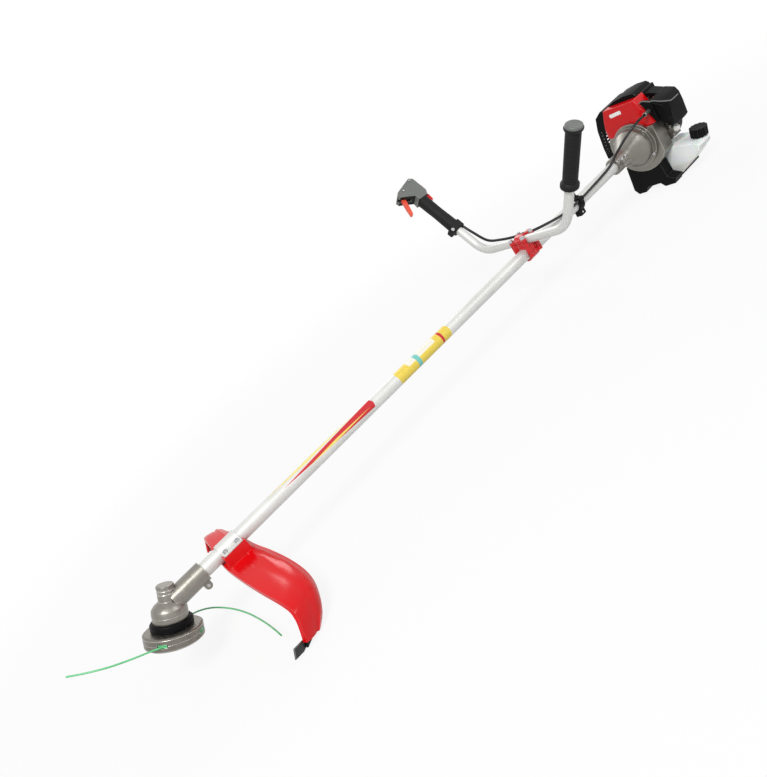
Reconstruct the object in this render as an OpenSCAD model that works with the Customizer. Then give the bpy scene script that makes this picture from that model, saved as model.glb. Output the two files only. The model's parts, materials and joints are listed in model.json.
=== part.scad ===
// Petrol brush cutter: straight tube, bevel gear head with a line head, handlebar and two-stroke engine.
// Lengths in millimetres. The shaft runs along X, the engine end is +X, Z is up and the floor is z = 0.

/* [Shaft] */
// Outside diameter of the main tube
tube_d = 28; // [27:0.5:29]
// Wall of the main tube
tube_wall = 1.5; // [1.2:0.1:2]
// Spindle axis to the engine end of the main tube
tube_end = 1460; // [1440:5:1500]
// Diameter of the drive shaft inside the tube
drive_d = 8; // [7:0.5:8.5]
// Number of bushes that carry the drive shaft
bush_count = 7; // [5:1:9]

/* [Cutting head] */
// Diameter of the line head
head_d = 100; // [96:1:106]
// Height of the line head
head_h = 24; // [22:0.5:26]
// Diameter of the cutting line
line_d = 3; // [2.4:0.2:3.4]
// Teeth on the drive shaft's bevel gear
pinion_teeth = 12; // [12:1:13]
// Teeth on the spindle's crown gear
crown_teeth = 21; // [20:1:22]

/* [Guard] */
// Thickness of the moulded guard
guard_t = 3; // [2.5:0.25:3.5]
// Rise of the deck between its front and rear edges
guard_crown = 6; // [4:0.5:7]
// Height of the raised band along the rear of the deck
guard_band = 3; // [2:0.25:4]
// Depth of the rear flange
guard_flange = 24; // [18:1:28]

/* [Handlebar] */
// Diameter of the handlebar tube
bar_d = 20; // [19:0.5:21]
// Wall of the handlebar tube
bar_wall = 1.6; // [1.2:0.1:2]
// Spindle axis to the handlebar clamp
bar_x = 1040; // [1000:5:1070]
// Diameter of the left hand grip
grip_d = 30; // [29:0.5:33]

/* [Engine] */
// Bore of the cylinder
bore_d = 40; // [38:0.5:42]
// Number of cooling fins
fin_count = 7; // [5:1:8]
// Diameter of the flywheel fan
fan_d = 110; // [104:1:112]
// Diameter of the clutch drum
drum_d = 78; // [74:1:80]
// Diameter of the starter pulley
pulley_d = 54; // [48:1:58]

/* [Fits] */
// Radial running clearance of a shaft in its bearing
run_gap = 0.05; // [0.03:0.01:0.08]
// Gap between parts that pass each other
free_gap = 0.5; // [0.4:0.05:0.6]
// Radial gap of a tube in its clamp
clamp_gap = 0.05; // [0.02:0.01:0.08]

/* [Hidden] */
$fn = 64;

red = "#d3161d";
black = "#1b1b1c";
grey = "#4a4c4b";
cast = "#a8a49c";
steel = "#b9bbbd";
silver = "#d9d9d5";
green = "#5fbf78";
orange = "#e0604a";
milky = "#e2e2de";

tube_r = tube_d/2;
drive_r = drive_d/2;
bar_r = bar_d/2;
head_r = head_d/2;
eps = 0.01;

// The floor, the engine and the head in the frame of the shaft
shaft_z = 130;
head_tilt = 30;
engine_x = tube_end + 40;
foot_x = engine_x + 118;

module place() translate([-foot_x, 0, shaft_z]) children();
module at_spindle() place() rotate([0, head_tilt, 0]) children();
module at_engine() place() translate([engine_x, 0, 0]) children();

// Basic shapes
module xcyl(r, x0, x1) translate([x0, 0, 0]) rotate([0, 90, 0]) cylinder(r = r, h = x1 - x0);
module ycyl(r, y0, y1) translate([0, y0, 0]) rotate([-90, 0, 0]) cylinder(r = r, h = y1 - y0);
module zcyl(r, z0, z1) translate([0, 0, z0]) cylinder(r = r, h = z1 - z0);
module xturn(pts) rotate([0, 90, 0]) rotate_extrude() polygon(pts);
module zturn(pts) rotate_extrude() polygon(pts);
module block(a, b) translate(a) cube(b - a);

module rounded(w, d, r) {
  square([w - 2*r, d], center = true);
  square([w, d - 2*r], center = true);
  for (x = [-1, 1], y = [-1, 1])
    translate([x*(w/2 - r), y*(d/2 - r)]) circle(r);
}

// A block with rounded upright edges, between two corners
module soft_block(a, b, r)
  translate([(a[0] + b[0])/2, (a[1] + b[1])/2, a[2]])
    linear_extrude(b[2] - a[2]) rounded(b[0] - a[0], b[1] - a[1], r);

// Profiles drawn in a plane and pushed along the third axis
module along_x(x0, x1) translate([x0, 0, 0]) rotate([90, 0, 90]) linear_extrude(x1 - x0) children();
module along_y(y0, y1) translate([0, y1, 0]) rotate([90, 0, 0]) linear_extrude(y1 - y0) children();
module along_z(z0, z1) translate([0, 0, z0]) linear_extrude(z1 - z0) children();

// Socket head screw: the underside of the head is the origin and the thread points to -Z
module screw(d, l) {
  zcyl(d/2, -l, eps);
  difference() {
    zcyl(d*0.85, 0, d);
    zcyl(d*0.42, d*0.5, d + 1, $fn = 6);
  }
}

// Smooth curve through points, and a round cord along it
function curve_at(p, i, t) =
  let (a = p[max(i - 1, 0)], b = p[i], c = p[i + 1], d = p[min(i + 2, len(p) - 1)])
  0.5*(2*b + t*(c - a) + t*t*(2*a - 5*b + 4*c - d) + t*t*t*(3*b - a - 3*c + d));
function curve(p, n) = [for (i = [0:len(p) - 2], k = [0:n - 1]) curve_at(p, i, k/n), p[len(p) - 1]];
function unit(v) = v/norm(v);
function along(p, i) = unit(p[min(i + 1, len(p) - 1)] - p[max(i - 1, 0)]);
function ring(c, t, ref, r, n) =
  let (u = unit(cross(t, ref)), v = cross(t, u))
  [for (k = [0:n - 1]) c + r*(cos(360*k/n)*u + sin(360*k/n)*v)];
function rings(p, ref, r, n) = [for (i = [0:len(p) - 1]) each ring(p[i], along(p, i), ref, r, n)];
function wall(rows, n, base) =
  [for (i = [0:rows - 2], k = [0:n - 1])
    let (a = base + i*n + k, b = base + i*n + (k + 1)%n)
    each [[a, a + n, b], [b, a + n, b + n]]];
function disc(n, base, flip) =
  [for (k = [1:n - 2]) flip ? [base, base + k + 1, base + k] : [base, base + k, base + k + 1]];
function flipped(f) = [for (t = f) [t[0], t[2], t[1]]];

module cord(p, ref, r, n) {
  rows = len(p);
  polyhedron(rings(p, ref, r, n), concat(wall(rows, n, 0), disc(n, 0, false), disc(n, (rows - 1)*n, true)));
}

module pipe(p, ref, r_out, r_in, n) {
  rows = len(p);
  far = rows*n;
  rim = [for (i = [0, rows - 1], k = [0:n - 1])
    let (a = i*n + k, b = i*n + (k + 1)%n, c = far + a, d = far + b)
    each (i == 0 ? [[a, b, c], [b, d, c]] : [[a, c, b], [b, c, d]])];
  polyhedron(concat(rings(p, ref, r_out, n), rings(p, ref, r_in, n)),
    concat(wall(rows, n, 0), flipped(wall(rows, n, far)), rim));
}

// Bevel gears: both pitch cones have their point where the shaft axis meets the spindle axis
gear_angle = 90 + head_tilt;
pinion_cone = atan(sin(gear_angle)/(crown_teeth/pinion_teeth + cos(gear_angle)));
crown_cone = gear_angle - pinion_cone;
gear_reach = 18.8;
gear_face = 6.7;
tooth_up = atan(1.1/gear_reach);
tooth_down = atan(1.6/gear_reach);

function polar(d, a, psi) = d*[sin(a)*cos(psi), sin(a)*sin(psi), cos(a)];
module tooth_gaps(teeth, cone) {
  lo = cone - tooth_down;
  hi = cone + 2.5*tooth_up;
  narrow = 360/teeth*0.24;
  wide = 360/teeth*0.42;
  ends = [gear_reach*0.5, gear_reach*1.3];
  for (k = [0:teeth - 1])
    rotate([0, 0, 360*k/teeth])
      polyhedron(
        [for (d = ends) each [polar(d, lo, -narrow), polar(d, lo, narrow), polar(d, hi, wide), polar(d,
          hi, -wide)]],
        [[3, 2, 1, 0], [4, 5, 6, 7], [1, 5, 4, 0], [2, 6, 5, 1], [3, 7, 6, 2], [0, 4, 7, 3]]);
}
function cone_pt(d, a) = [d*sin(a), d*cos(a)];

// Gear head
socket_r = tube_r + 5;
socket_end = 78;
tube_start = 41;
bearing_r = 13;
lug_x = 67;
lug_z = -socket_r - 4;
case_foot = -13;
cover_foot = -26;
cover_r = 30;
case_screw_r = 25.7;
crown_r = 20.3;
spindle_r = 6;
arbor_r = 5;

module gear_case()
  color(cast) place() difference() {
    union() {
      xcyl(socket_r, 11, socket_end);
      rotate([0, head_tilt, 0])
        zturn([[0, 37], [13.5, 37], [15, 35.5], [15, 31], [14.2, 30.5], [14.2, 28.5], [15, 28], [15, 25],
          [14.2, 24.5], [14.2, 22.5], [15, 22], [15, 10], [24, 4], [29, -2], [cover_r, -8],
          [cover_r, case_foot], [0, case_foot]]);
      block([lug_x - 7, -9, lug_z], [lug_x + 7, 9, -10]);
      translate([lug_x, 0, lug_z]) ycyl(7, -9, 9);
    }
    xcyl(bearing_r, 4, tube_start);
    xcyl(tube_r + clamp_gap, tube_start - eps, socket_end + 1);
    block([tube_start + 4, -0.8, lug_z - 8], [socket_end + 1, 0.8, -8]);
    translate([lug_x, 0, lug_z]) ycyl(2.5, -10, 10);
    rotate([0, head_tilt, 0]) {
      zcyl(crown_r + 1.2, case_foot - 1, 1.5);
      zcyl(11, 0, 27);
      zcyl(7, 26, 31);
      for (a = [60, 180, 300])
        rotate([0, 0, a]) translate([case_screw_r, 0, 0]) zcyl(2, case_foot - 1, -4);
    }
  }

module gear_cover()
  color(cast) at_spindle() difference() {
    zturn([[16, case_foot], [cover_r, case_foot], [cover_r, cover_foot + 2], [cover_r - 2, cover_foot],
      [11.5, cover_foot], [11.5, case_foot - 10.2], [16, case_foot - 10.2]]);
    for (a = [60, 180, 300])
      rotate([0, 0, a]) translate([case_screw_r, 0, 0]) zcyl(2, cover_foot - 1, case_foot + 1);
  }

module pinion()
  color(steel) place() rotate([0, 90, 0]) difference() {
    zturn([[0, 11.2], cone_pt(gear_reach - gear_face, pinion_cone - tooth_down),
      cone_pt(gear_reach - gear_face, pinion_cone + tooth_up), cone_pt(gear_reach, pinion_cone + tooth_up),
      cone_pt(gear_reach, pinion_cone - tooth_down), [9, 18.8], [5, 18.8], [5, 40.5], [0, 40.5]]);
    tooth_gaps(pinion_teeth, pinion_cone);
    zcyl(drive_r + 0.02, 26, 41);
  }

// Sealed ball bearing with 10 mm bore: two behind the bevel gear and two behind the clutch drum
module bearing(r_in, r_out, h)
  zturn([[r_in, 0], [r_in + 2, 0], [r_in + 2.3, 0.5], [r_out - 2.3, 0.5], [r_out - 2, 0], [r_out, 0],
    [r_out, h],
    [r_out - 2, h], [r_out - 2.3, h - 0.5], [r_in + 2.3, h - 0.5], [r_in + 2, h], [r_in, h]]);

module shaft_bearings()
  color(steel) place() {
    for (x = [21.2, 29.4, engine_x - 38, engine_x - 29.8])
      translate([x, 0, 0]) rotate([0, 90, 0]) bearing(arbor_r + run_gap, bearing_r, 8);
    for (x = [engine_x + crank_mid - 31, engine_x + crank_mid + 21])
      translate([x, 0, 0]) rotate([0, 90, 0]) bearing(crank_r + run_gap, crank_bearing_r, 11);
  }

module crown_gear()
  color(steel) at_spindle() rotate([180, 0, 0]) difference() {
    zturn([[arbor_r, 2.4], [11.4, 2.4], cone_pt(gear_reach - gear_face, crown_cone + tooth_up),
      cone_pt(gear_reach, crown_cone + tooth_up), [crown_r, 3], [crown_r, 10], [11, 10], [9, 13],
        [arbor_r, 13]]);
    rotate([0, 0, 180/crown_teeth]) tooth_gaps(crown_teeth, crown_cone);
  }

head_top = -37;
head_foot = head_top - head_h;
head_mid = (head_top + head_foot)/2;

module spindle()
  color(steel) at_spindle()
    zturn([[0, 27.6], [3.6, 27.6], [4, 27.2], [4, -2.4], [arbor_r, -2.4], [arbor_r, case_foot],
      [spindle_r, case_foot], [spindle_r, -30], [13, -30], [13, head_top], [arbor_r, head_top],
      [arbor_r, head_foot + 1.5], [0, head_foot + 1.5]]);

module spindle_bearings()
  color(steel) at_spindle() {
    translate([0, 0, 20]) bearing(4 + run_gap, 11, 7);
    translate([0, 0, case_foot - 10.2]) bearing(spindle_r + run_gap, 16, 10.2);
  }

module dust_ring()
  color(black) at_spindle() difference() {
    zturn([[14.5, cover_foot], [cover_r + 0.6, cover_foot], [cover_r + 0.6, cover_foot + 3.5],
      [cover_r + 3, cover_foot + 3.5], [36, cover_foot], [36, cover_foot - 8.5], [33.5, cover_foot - 8.5],
      [33.5, cover_foot - 2.5], [14.5, cover_foot - 2.5]]);
    for (a = [60, 180, 300])
      rotate([0, 0, a]) translate([case_screw_r, 0, 0]) zcyl(2, cover_foot - 5, cover_foot + 1);
  }

// Line head: two discs that pinch the line, with four open windows at the rim
exit_angles = [-124, -34, 56, 146];
lid_screw_r = head_r*0.7;
module line_ways()
  for (a = exit_angles)
    rotate([0, 0, a]) {
      block([head_r - 12, -9, head_mid - 3], [head_r + 1, 9, head_mid + 3]);
      translate([0, 0, head_mid]) xcyl(line_d/2 + 0.9, head_r*0.4, head_r);
    }
module lid_screw_spots()
  for (a = exit_angles)
    rotate([0, 0, a + 45]) translate([lid_screw_r, 0, 0]) children();

module head_base()
  color(cast) at_spindle() difference() {
    zturn([[arbor_r, head_top], [head_r - 4, head_top], [head_r, head_top - 3], [head_r, head_mid],
      [arbor_r, head_mid]]);
    line_ways();
    lid_screw_spots() zcyl(2, head_mid - 1, head_mid + 9);
    for (k = [0:11])
      rotate([0, 0, 30*k]) translate([24, 0, 0]) zcyl(3, head_top - 4, head_top + 1);
  }

module head_lid()
  color(cast) at_spindle() difference() {
    zturn([[arbor_r, head_mid], [head_r, head_mid], [head_r, head_foot + 3], [head_r - 4, head_foot],
      [13, head_foot], [13, head_foot + 7], [arbor_r, head_foot + 7]]);
    line_ways();
    lid_screw_spots() {
      zcyl(2, head_foot - 1, head_mid + 1);
      zcyl(4, head_foot - 1, head_foot + 4);
    }
  }

module head_fasteners()
  color(steel) at_spindle() {
    difference() {
      zcyl(9.5, head_foot + 1, head_foot + 7, $fn = 6);
      zcyl(arbor_r, head_foot, head_foot + 8);
    }
    lid_screw_spots() translate([0, 0, head_foot + 4]) rotate([180, 0, 0]) screw(4, head_h/2 + 4);
  }

// Cutting line, in the plane between the two discs
front_route = [[-14, -20], [-27, -40], [-48, -42], [-78, -45], [-110, -44], [-142, -35], [-170, -22]];
rear_route = [[13, 20], [27, 40], [52, 62], [80, 58], [104, 26], [120, -20], [128, -72], [131, -118],
  [131, -162]];
module line_front()
  color(green) at_spindle() cord(curve([for (p = front_route) [p[0], p[1], head_mid]], 4), [0, 0, 1],
    line_d/2, 8);
module line_rear()
  color(green) at_spindle() cord(curve([for (p = rear_route) [p[0], p[1], head_mid]], 5), [0, 0, 1],
    line_d/2, 8);

// Guard: front and rear edges of its deck from the right end to the left end, about the spindle
guard_front = [[112, 152, 26], [111, 150, 48], [109, 140, 57], [104, 74, 50], [100, 0, 38], [108, -60, 27],
  [118, -129, 20], [130, -182, 13], [139, -208, 4], [144, -217, -9], [147, -219, -24], [151, -218, -50]];
guard_rear = [[146, 150, 24], [147, 148, 46], [149, 138, 60], [154, 74, 66], [160, 0, 61], [174, -45, 54],
  [188, -96, 44], [198, -134, 31], [202, -158, 16], [201, -174, -3], [196, -186, -22], [184, -192, -39]];
front_edge = curve(guard_front, 3);
rear_edge = curve(guard_rear, 3);
guard_rows = len(front_edge);
mid_edge = (front_edge + rear_edge)/2;
function guard_point(i, a, b) =
  let (u = unit(rear_edge[i] - front_edge[i]), n = unit(cross(u, along(mid_edge, i))))
  front_edge[i] + a*u + b*n;
function guard_width(i) = norm(rear_edge[i] - front_edge[i]);
function guard_outer(i) =
  let (w = guard_width(i), c = guard_crown)
  [[0, 7], [0, 0], [w*0.18, -c*0.64], [w*0.42, -c], [w*0.57, -c*0.98], [w*0.64, -c - guard_band],
    [w*0.83, -c*0.7 - guard_band], [w*0.91, -c*0.35], [w, 0], [w, guard_flange]];
function guard_inner(i) =
  let (w = guard_width(i), c = guard_crown, t = guard_t)
  [[t, 7], [t, t], [w*0.18 + t*0.3, t - c*0.64], [w*0.42, t - c], [w*0.6, t - c*0.98], [w*0.67,
    t - c - guard_band],
    [w*0.81, t - c*0.7 - guard_band], [w*0.88, t - c*0.35], [w - t, t], [w - t, guard_flange]];
module guard_sheet() {
  n = 10;
  far = guard_rows*n;
  pts = [for (i = [0:guard_rows - 1]) each [for (q = guard_outer(i)) guard_point(i, q[0], q[1])]];
  back = [for (i = [0:guard_rows - 1]) each [for (q = guard_inner(i)) guard_point(i, q[0], q[1])]];
  skin = [for (i = [0:guard_rows - 2], k = [0:n - 2])
    let (a = i*n + k, b = a + 1, c = a + n, d = c + 1)
    each [[a, c, b], [b, c, d]]];
  sides = [for (i = [0:guard_rows - 2], k = [0, n - 1])
    let (a = i*n + k, c = a + n)
    each (k == 0 ? [[a, far + a, c], [c, far + a, far + c]] : [[a, c, far + a], [c, far + c, far + a]])];
  ends = [for (i = [0, guard_rows - 1], k = [0:n - 2])
    let (a = i*n + k, b = a + 1)
    each (i == 0 ? [[a, b, far + a], [b, far + b, far + a]] : [[a, far + a, b], [b, far + a, far + b]])];
  low = [for (t = flipped(skin)) [t[0] + far, t[1] + far, t[2] + far]];
  polyhedron(concat(pts, back), flipped(concat(skin, low, sides, ends)));
}

saddle_x = [112, 160];
saddle_y = 30;
guard_bolt_x = [123, 149];
guard_bolt_y = 23;
module guard_shell()
  color(red) place() difference() {
    union() {
      rotate([0, head_tilt, 0]) guard_sheet();
      along_y(-saddle_y, saddle_y)
        polygon([[saddle_x[0], -0.5], [saddle_x[1], -0.5], [saddle_x[1], -32], [saddle_x[0], -23]]);
    }
    xcyl(tube_r + clamp_gap, 90, 190);
    for (x = guard_bolt_x, y = [-1, 1])
      translate([x, y*guard_bolt_y, 0]) zcyl(2.5, -19, 1);
  }

module guard_clamp()
  color(silver) place() difference() {
    union() {
      intersection() {
        xcyl(tube_r + 3, 115, 157);
        block([110, -40, 0], [160, 40, 40]);
      }
      soft_block([115, -saddle_y, 0], [157, saddle_y, 3.5], 4);
    }
    xcyl(tube_r + clamp_gap, 100, 170);
    for (x = guard_bolt_x, y = [-1, 1])
      translate([x, y*guard_bolt_y, 0]) zcyl(2.6, -1, 5);
  }

// Line knife and flap on the left end of the guard
end_run = unit([guard_rear[11][0] - guard_front[11][0], guard_rear[11][1] - guard_front[11][1], 0]);
end_turn = atan2(end_run[1], end_run[0]);
module at_guard_end() place() rotate([0, head_tilt, 0]) translate(guard_front[11]) rotate([0, 0,
  end_turn]) children();

flap_t = 4;
knife_y = guard_t + flap_t + 0.2;
module guard_flap()
  color(black) difference() {
    at_guard_end() translate([0, guard_t + 0.2, 0])
      rotate([90, 0, 0]) translate([0, 0, -flap_t]) linear_extrude(flap_t)
        polygon([[7, 14], [32, 14], [40, 6], [42, -40], [7, -40]]);
    block([-4000, -1000, -500], [4000, 1000, 0]);
    at_guard_end() for (x = [14, 30]) translate([x, 0, 5]) ycyl(2.5, -10, 20);
  }

module line_knife()
  color(black) difference() {
    at_guard_end() along_y(knife_y, knife_y + 2.2)
      polygon([[-26, -14], [20, -14], [20, 10], [8, 10], [2, 3], [-26, 3]]);
    block([-4000, -1000, -500], [4000, 1000, 1.5]);
    at_guard_end() translate([14, 0, 5]) ycyl(2.5, -10, 20);
  }

// Main tube, drive shaft and bushes
module shaft_tube()
  color(silver) place() difference() {
    xcyl(tube_r, tube_start, tube_end);
    xcyl(tube_r - tube_wall, tube_start - 1, tube_end + 1);
  }

module drive_shaft()
  color(steel) place() xcyl(drive_r, 26.5, engine_x - 24.5);

module shaft_bushes()
  color(black) place()
    for (k = [0:bush_count - 1])
      translate([130 + k*(tube_end - 240)/(bush_count - 1), 0, 0]) difference() {
        xcyl(tube_r - tube_wall, -12, 12);
        xcyl(drive_r + run_gap, -13, 13);
      }

// Harness hanger
hanger_x = bar_x + 192;
hanger_z = -tube_r - 9;
eye_z = tube_r + 20;
eye_r = 6;
cable_r = 3.2;
cable_y = -tube_r - 4;
module hanger_clamp()
  color(black) place() translate([hanger_x, 0, 0]) difference() {
    union() {
      xcyl(tube_r + 5, -9, 9);
      block([-9, -8, hanger_z - 6], [9, 8, -10]);
      along_y(-3, 3) translate([0, tube_r + 13]) rounded(22, 36, 10);
      translate([0, cable_y, 8]) xcyl(6.5, -7, 7);
    }
    xcyl(tube_r + clamp_gap, -13, 13);
    block([-13, -0.8, hanger_z - 9], [13, 0.8, -8]);
    translate([0, 0, hanger_z]) ycyl(2.5, -10, 10);
    translate([0, 0, eye_z]) ycyl(eye_r, -4, 4);
    translate([0, cable_y, 8]) xcyl(cable_r + 0.4, -9, 9);
  }

// Handlebar clamp: base under the tube, saddle between tube and bar, cap over the bar
bolt_r = 3;
boss_r = bolt_r + 3.2;
bar_z = tube_r + bar_r + 4;
bolt_dx = bar_r + bolt_r + 1.8;
bolt_dy = tube_r + bolt_r + 1.8;
base_foot = -9;
cap_top = bar_z + 8;
clip_x = bolt_dx + 10.5;
clip_z = bar_z + 5.2;
split_gap = 0.4;
module clamp_bolt_spots()
  for (x = [-1, 1], y = [-1, 1])
    translate([x*bolt_dx, y*bolt_dy, 0]) children();
module clamp_slice(z0, z1)
  along_z(z0, z1) {
    circle(bolt_dx + 4);
    for (s = [-1, 1]) rotate(s*atan2(bolt_dy, bolt_dx)) square([2*norm([bolt_dx, bolt_dy]), 2*boss_r - 2],
      center = true);
    clamp_bolt_spots() circle(boss_r);
  }
module clamp_part()
  color(red) place() translate([bar_x, 0, 0]) difference() {
    children();
    xcyl(tube_r + clamp_gap, -50, 50);
    translate([0, 0, bar_z]) ycyl(bar_r + clamp_gap, -50, 50);
    clamp_bolt_spots() zcyl(bolt_r, -60, 90);
    translate([clip_x, 0, clip_z]) ycyl(cable_r + 0.4, -12, 8);
  }
module handle_base()
  clamp_part() {
    clamp_slice(base_foot, -split_gap);
    intersection() {
      xcyl(tube_r + 5, -bolt_dx, bolt_dx);
      block([-40, -40, -40], [40, 40, -split_gap]);
    }
  }
module handle_saddle()
  clamp_part() clamp_slice(split_gap, bar_z - split_gap);
module handle_cap()
  clamp_part() {
    clamp_slice(bar_z + split_gap, cap_top);
    intersection() {
      translate([0, 0, bar_z]) ycyl(bar_r + 5, boss_r - bolt_dy, bolt_dy - boss_r);
      block([-40, -40, bar_z + split_gap], [40, 40, 90]);
    }
    soft_block([bolt_dx - 3, -9, bar_z + split_gap], [clip_x + 6, 4, cap_top + 2], 3);
  }

// Handlebar: straight over the clamp, then one bend up to each grip
bar_tilt = 4;
bend = 55;
bend_r = 60;
bar_flat = 105;
bar_run = 65;
bar_grip = 126;
bend_end = [bar_flat + bend_r*sin(bend), bend_r*(1 - cos(bend))];
grip_start = bend_end + bar_run*[cos(bend), sin(bend)];
bar_half = concat([for (k = [0:10]) [bar_flat + bend_r*sin(k*bend/10), bend_r*(1 - cos(k*bend/10))]],
  [grip_start + bar_grip*[cos(bend), sin(bend)]]);
bar_count = len(bar_half);
bar_route = concat([for (k = [1:bar_count]) [0, -bar_half[bar_count - k][0], bar_half[bar_count - k][1]]],
  [for (q = bar_half) [0, q[0], q[1]]]);

module at_bar() place() translate([bar_x, 0, bar_z]) rotate([0, bar_tilt, 0]) children();
module at_grip() at_bar() translate([0, grip_start[0], grip_start[1]]) rotate([bend, 0, 0]) children();
function from_grip(p) =
  let (y = p[1]*cos(bend) - p[2]*sin(bend) + grip_start[0],
    z = p[1]*sin(bend) + p[2]*cos(bend) + grip_start[1])
  [bar_x + p[0]*cos(bar_tilt) + z*sin(bar_tilt), y, bar_z - p[0]*sin(bar_tilt) + z*cos(bar_tilt)];
module handlebar() color(silver) at_bar() pipe(bar_route, [1, 0, 0], bar_r, bar_r - bar_wall, 24);

module left_grip()
  color(black) mirror([0, 1, 0]) at_grip() rotate([-90, 0, 0])
    zturn([[bar_r + 0.1, -4], [grip_d/2 + 1, -4], [grip_d/2 + 4, 0], [grip_d/2 + 4, 7], [grip_d/2 + 0.5,
      11],
      [grip_d/2, 60], [grip_d/2 + 0.5, 116], [grip_d/2 + 4, 121], [grip_d/2 + 4, 127], [grip_d/2 + 2, 130],
      [0, 131], [0, bar_grip], [bar_r + 0.1, bar_grip]]);

// Throttle grip in the frame of the right grip: Y along the grip, -X to the fingers, +X to the palm
head_outline = [[15, 112], [23, 124], [23, 170], [14, 178], [-40, 162], [-48, 155], [-47, 146], [-32, 138],
  [-13, 126], [-15, 112]];
head_room = [[9, 131], [19, 131], [19, 167], [13, 173], [-38, 158.5], [-44, 153], [-43, 149], [-30, 142],
  [-10, 131]];
trigger_pin = [-34, 151];
lock_pin = [15.5, 131];
module grip_body()
  difference() {
    union() {
      rotate([-90, 0, 0]) zturn([[0, 4], [15, 4], [16, 8], [15, 60], [16, 116], [0, 116]]);
      along_z(-15, 15) polygon(head_outline);
      rotate([-90, 0, 0]) zcyl(15.5, -12, 4);
      soft_block([-26, -12, -7], [-8, 3, 7], 3);
      translate([cable_boss[0], -4, cable_boss[1]]) ycyl(6, -6, 14);
    }
    rotate([-90, 0, 0]) zcyl(bar_r + 0.1, -13, bar_grip);
    along_z(-12, 12) polygon(head_room);
    along_z(-5.2, 5.2) polygon([[-50, 153], [-50, 140], [-34, 130], [-20, 124], [-18, 140], [-30, 150]]);
    block([11, 90, -4.8], [30, 137, 4.8]);
    block([17, 133, 2.6], [24, 159, 13.4]);
    translate([-18, -5, 0]) zcyl(2.5, -10, 10);
    translate([trigger_pin[0], trigger_pin[1], 0]) zcyl(1.6, -13.5, 13.5);
    translate([lock_pin[0], lock_pin[1], 0]) zcyl(1.6, -13.5, 13.5);
    translate([cable_boss[0], -4, cable_boss[1]]) ycyl(cable_r + 0.4, -8, 12);
    for (p = [[-26, 156], [10, 170]]) translate([p[0], p[1], 0]) zcyl(1.5, -13, 16);
  }
module throttle_shell()
  color(grey) at_grip() intersection() {
    grip_body();
    block([-90, -40, -40], [60, 220, 0]);
  }
module throttle_lid()
  color(grey) at_grip() intersection() {
    grip_body();
    block([-90, -40, 0], [60, 220, 40]);
  }

module throttle_trigger()
  color(orange) at_grip() {
    along_z(-4.4, 4.4) {
      translate(trigger_pin) circle(5);
      polygon([[-39, 151], [-29.2, 152], [-33, 138], [-42, 116], [-51, 96], [-55, 94], [-59, 96], [-53,
        116],
        [-45, 138]]);
    }
    translate([trigger_pin[0], trigger_pin[1], 0]) zcyl(1.6 - run_gap, -12.8, 12.8);
  }

module trigger_lockout()
  color(red) at_grip() {
    along_z(-4.2, 4.2) {
      translate(lock_pin) circle(3.2);
      polygon([[13.2, 132], [18.2, 132.5], [23, 126], [26, 114], [24, 98], [19, 95], [17.2, 98], [13.6,
        124]]);
    }
    translate([lock_pin[0], lock_pin[1], 0]) zcyl(1.6 - run_gap, -12.8, 12.8);
  }

module stop_switch()
  color(orange) at_grip() {
    block([17.5, 134, 3.2], [23.4, 148, 12.8]);
    along_z(4.5, 11.5) polygon([[23, 136], [27, 139], [27, 143], [23, 146]]);
  }

// Throttle cable, held at the grip, on the clamp, at the hanger and at the carburettor
cable_boss = [13, 6];
cable_end = [6, -66.4, 64];
cable_route = concat(
  [for (y = [7.5, -12]) from_grip([cable_boss[0], y, cable_boss[1]])],
  [from_grip([15, -40, 8])],
  [[bar_x + 18, 128, bar_z + 18], [bar_x + 19, 85, bar_z + 9], [bar_x + 22, 45, bar_z + 5]],
  [for (y = [16, 4, -9, -18]) [bar_x + clip_x, y, clip_z]],
  [[bar_x + 50, -28, bar_z], [bar_x + 110, -22, 14]],
  [for (x = [-30, -10, 10, 30]) [hanger_x + x, cable_y, 8]],
  [for (q = [[-140, -17, 13], [-98, -21, 27], [-64, -36, 45], [-38, -57, 60], [-20, -66.4, 64], [-7,
    -66.4, 64],
      cable_end])
    q + [engine_x, 0, 0]]);
module throttle_cable()
  color(black) place() cord(curve(cable_route, 3), [0.2, 0.3, 1], cable_r, 10);

// Screws and bolts
module clamp_bolts()
  color(steel) place() {
    translate([lug_x, 9, lug_z]) rotate([-90, 0, 0]) screw(5, 18);
    for (x = guard_bolt_x, y = [-1, 1])
      translate([x, y*guard_bolt_y, 3.5]) screw(5, 18);
    translate([hanger_x, 8, hanger_z]) rotate([-90, 0, 0]) screw(5, 16);
    translate([bar_x, 0, 0]) clamp_bolt_spots() translate([0, 0, cap_top]) screw(2*bolt_r,
      cap_top - base_foot);
    translate([engine_x, 0, 0]) neck_bolt_spots() screw(5, 18);
  }

module cover_screws()
  color(steel) {
    at_spindle() for (a = [60, 180, 300])
      rotate([0, 0, a]) translate([case_screw_r, 0, cover_foot - 2.5]) rotate([180, 0, 0]) screw(4, 22);
    at_guard_end() translate([14, knife_y + 2.2, 5]) rotate([-90, 0, 0]) screw(5, knife_y + 2.2);
    at_guard_end() translate([30, knife_y, 5]) rotate([-90, 0, 0]) screw(5, knife_y);
    at_grip() for (p = [[-26, 156], [10, 170]]) translate([p[0], p[1], 15]) screw(3, 27);
    at_grip() translate([-18, -5, 7]) screw(5, 14);
    at_engine() flange_spots() translate([-2, 0, 0]) rotate([0, -90, 0]) screw(4, 12);
    at_engine() starter_spots() translate([starter_end, 0, 0]) rotate([0, 90, 0]) screw(4, 56);
  }

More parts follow.
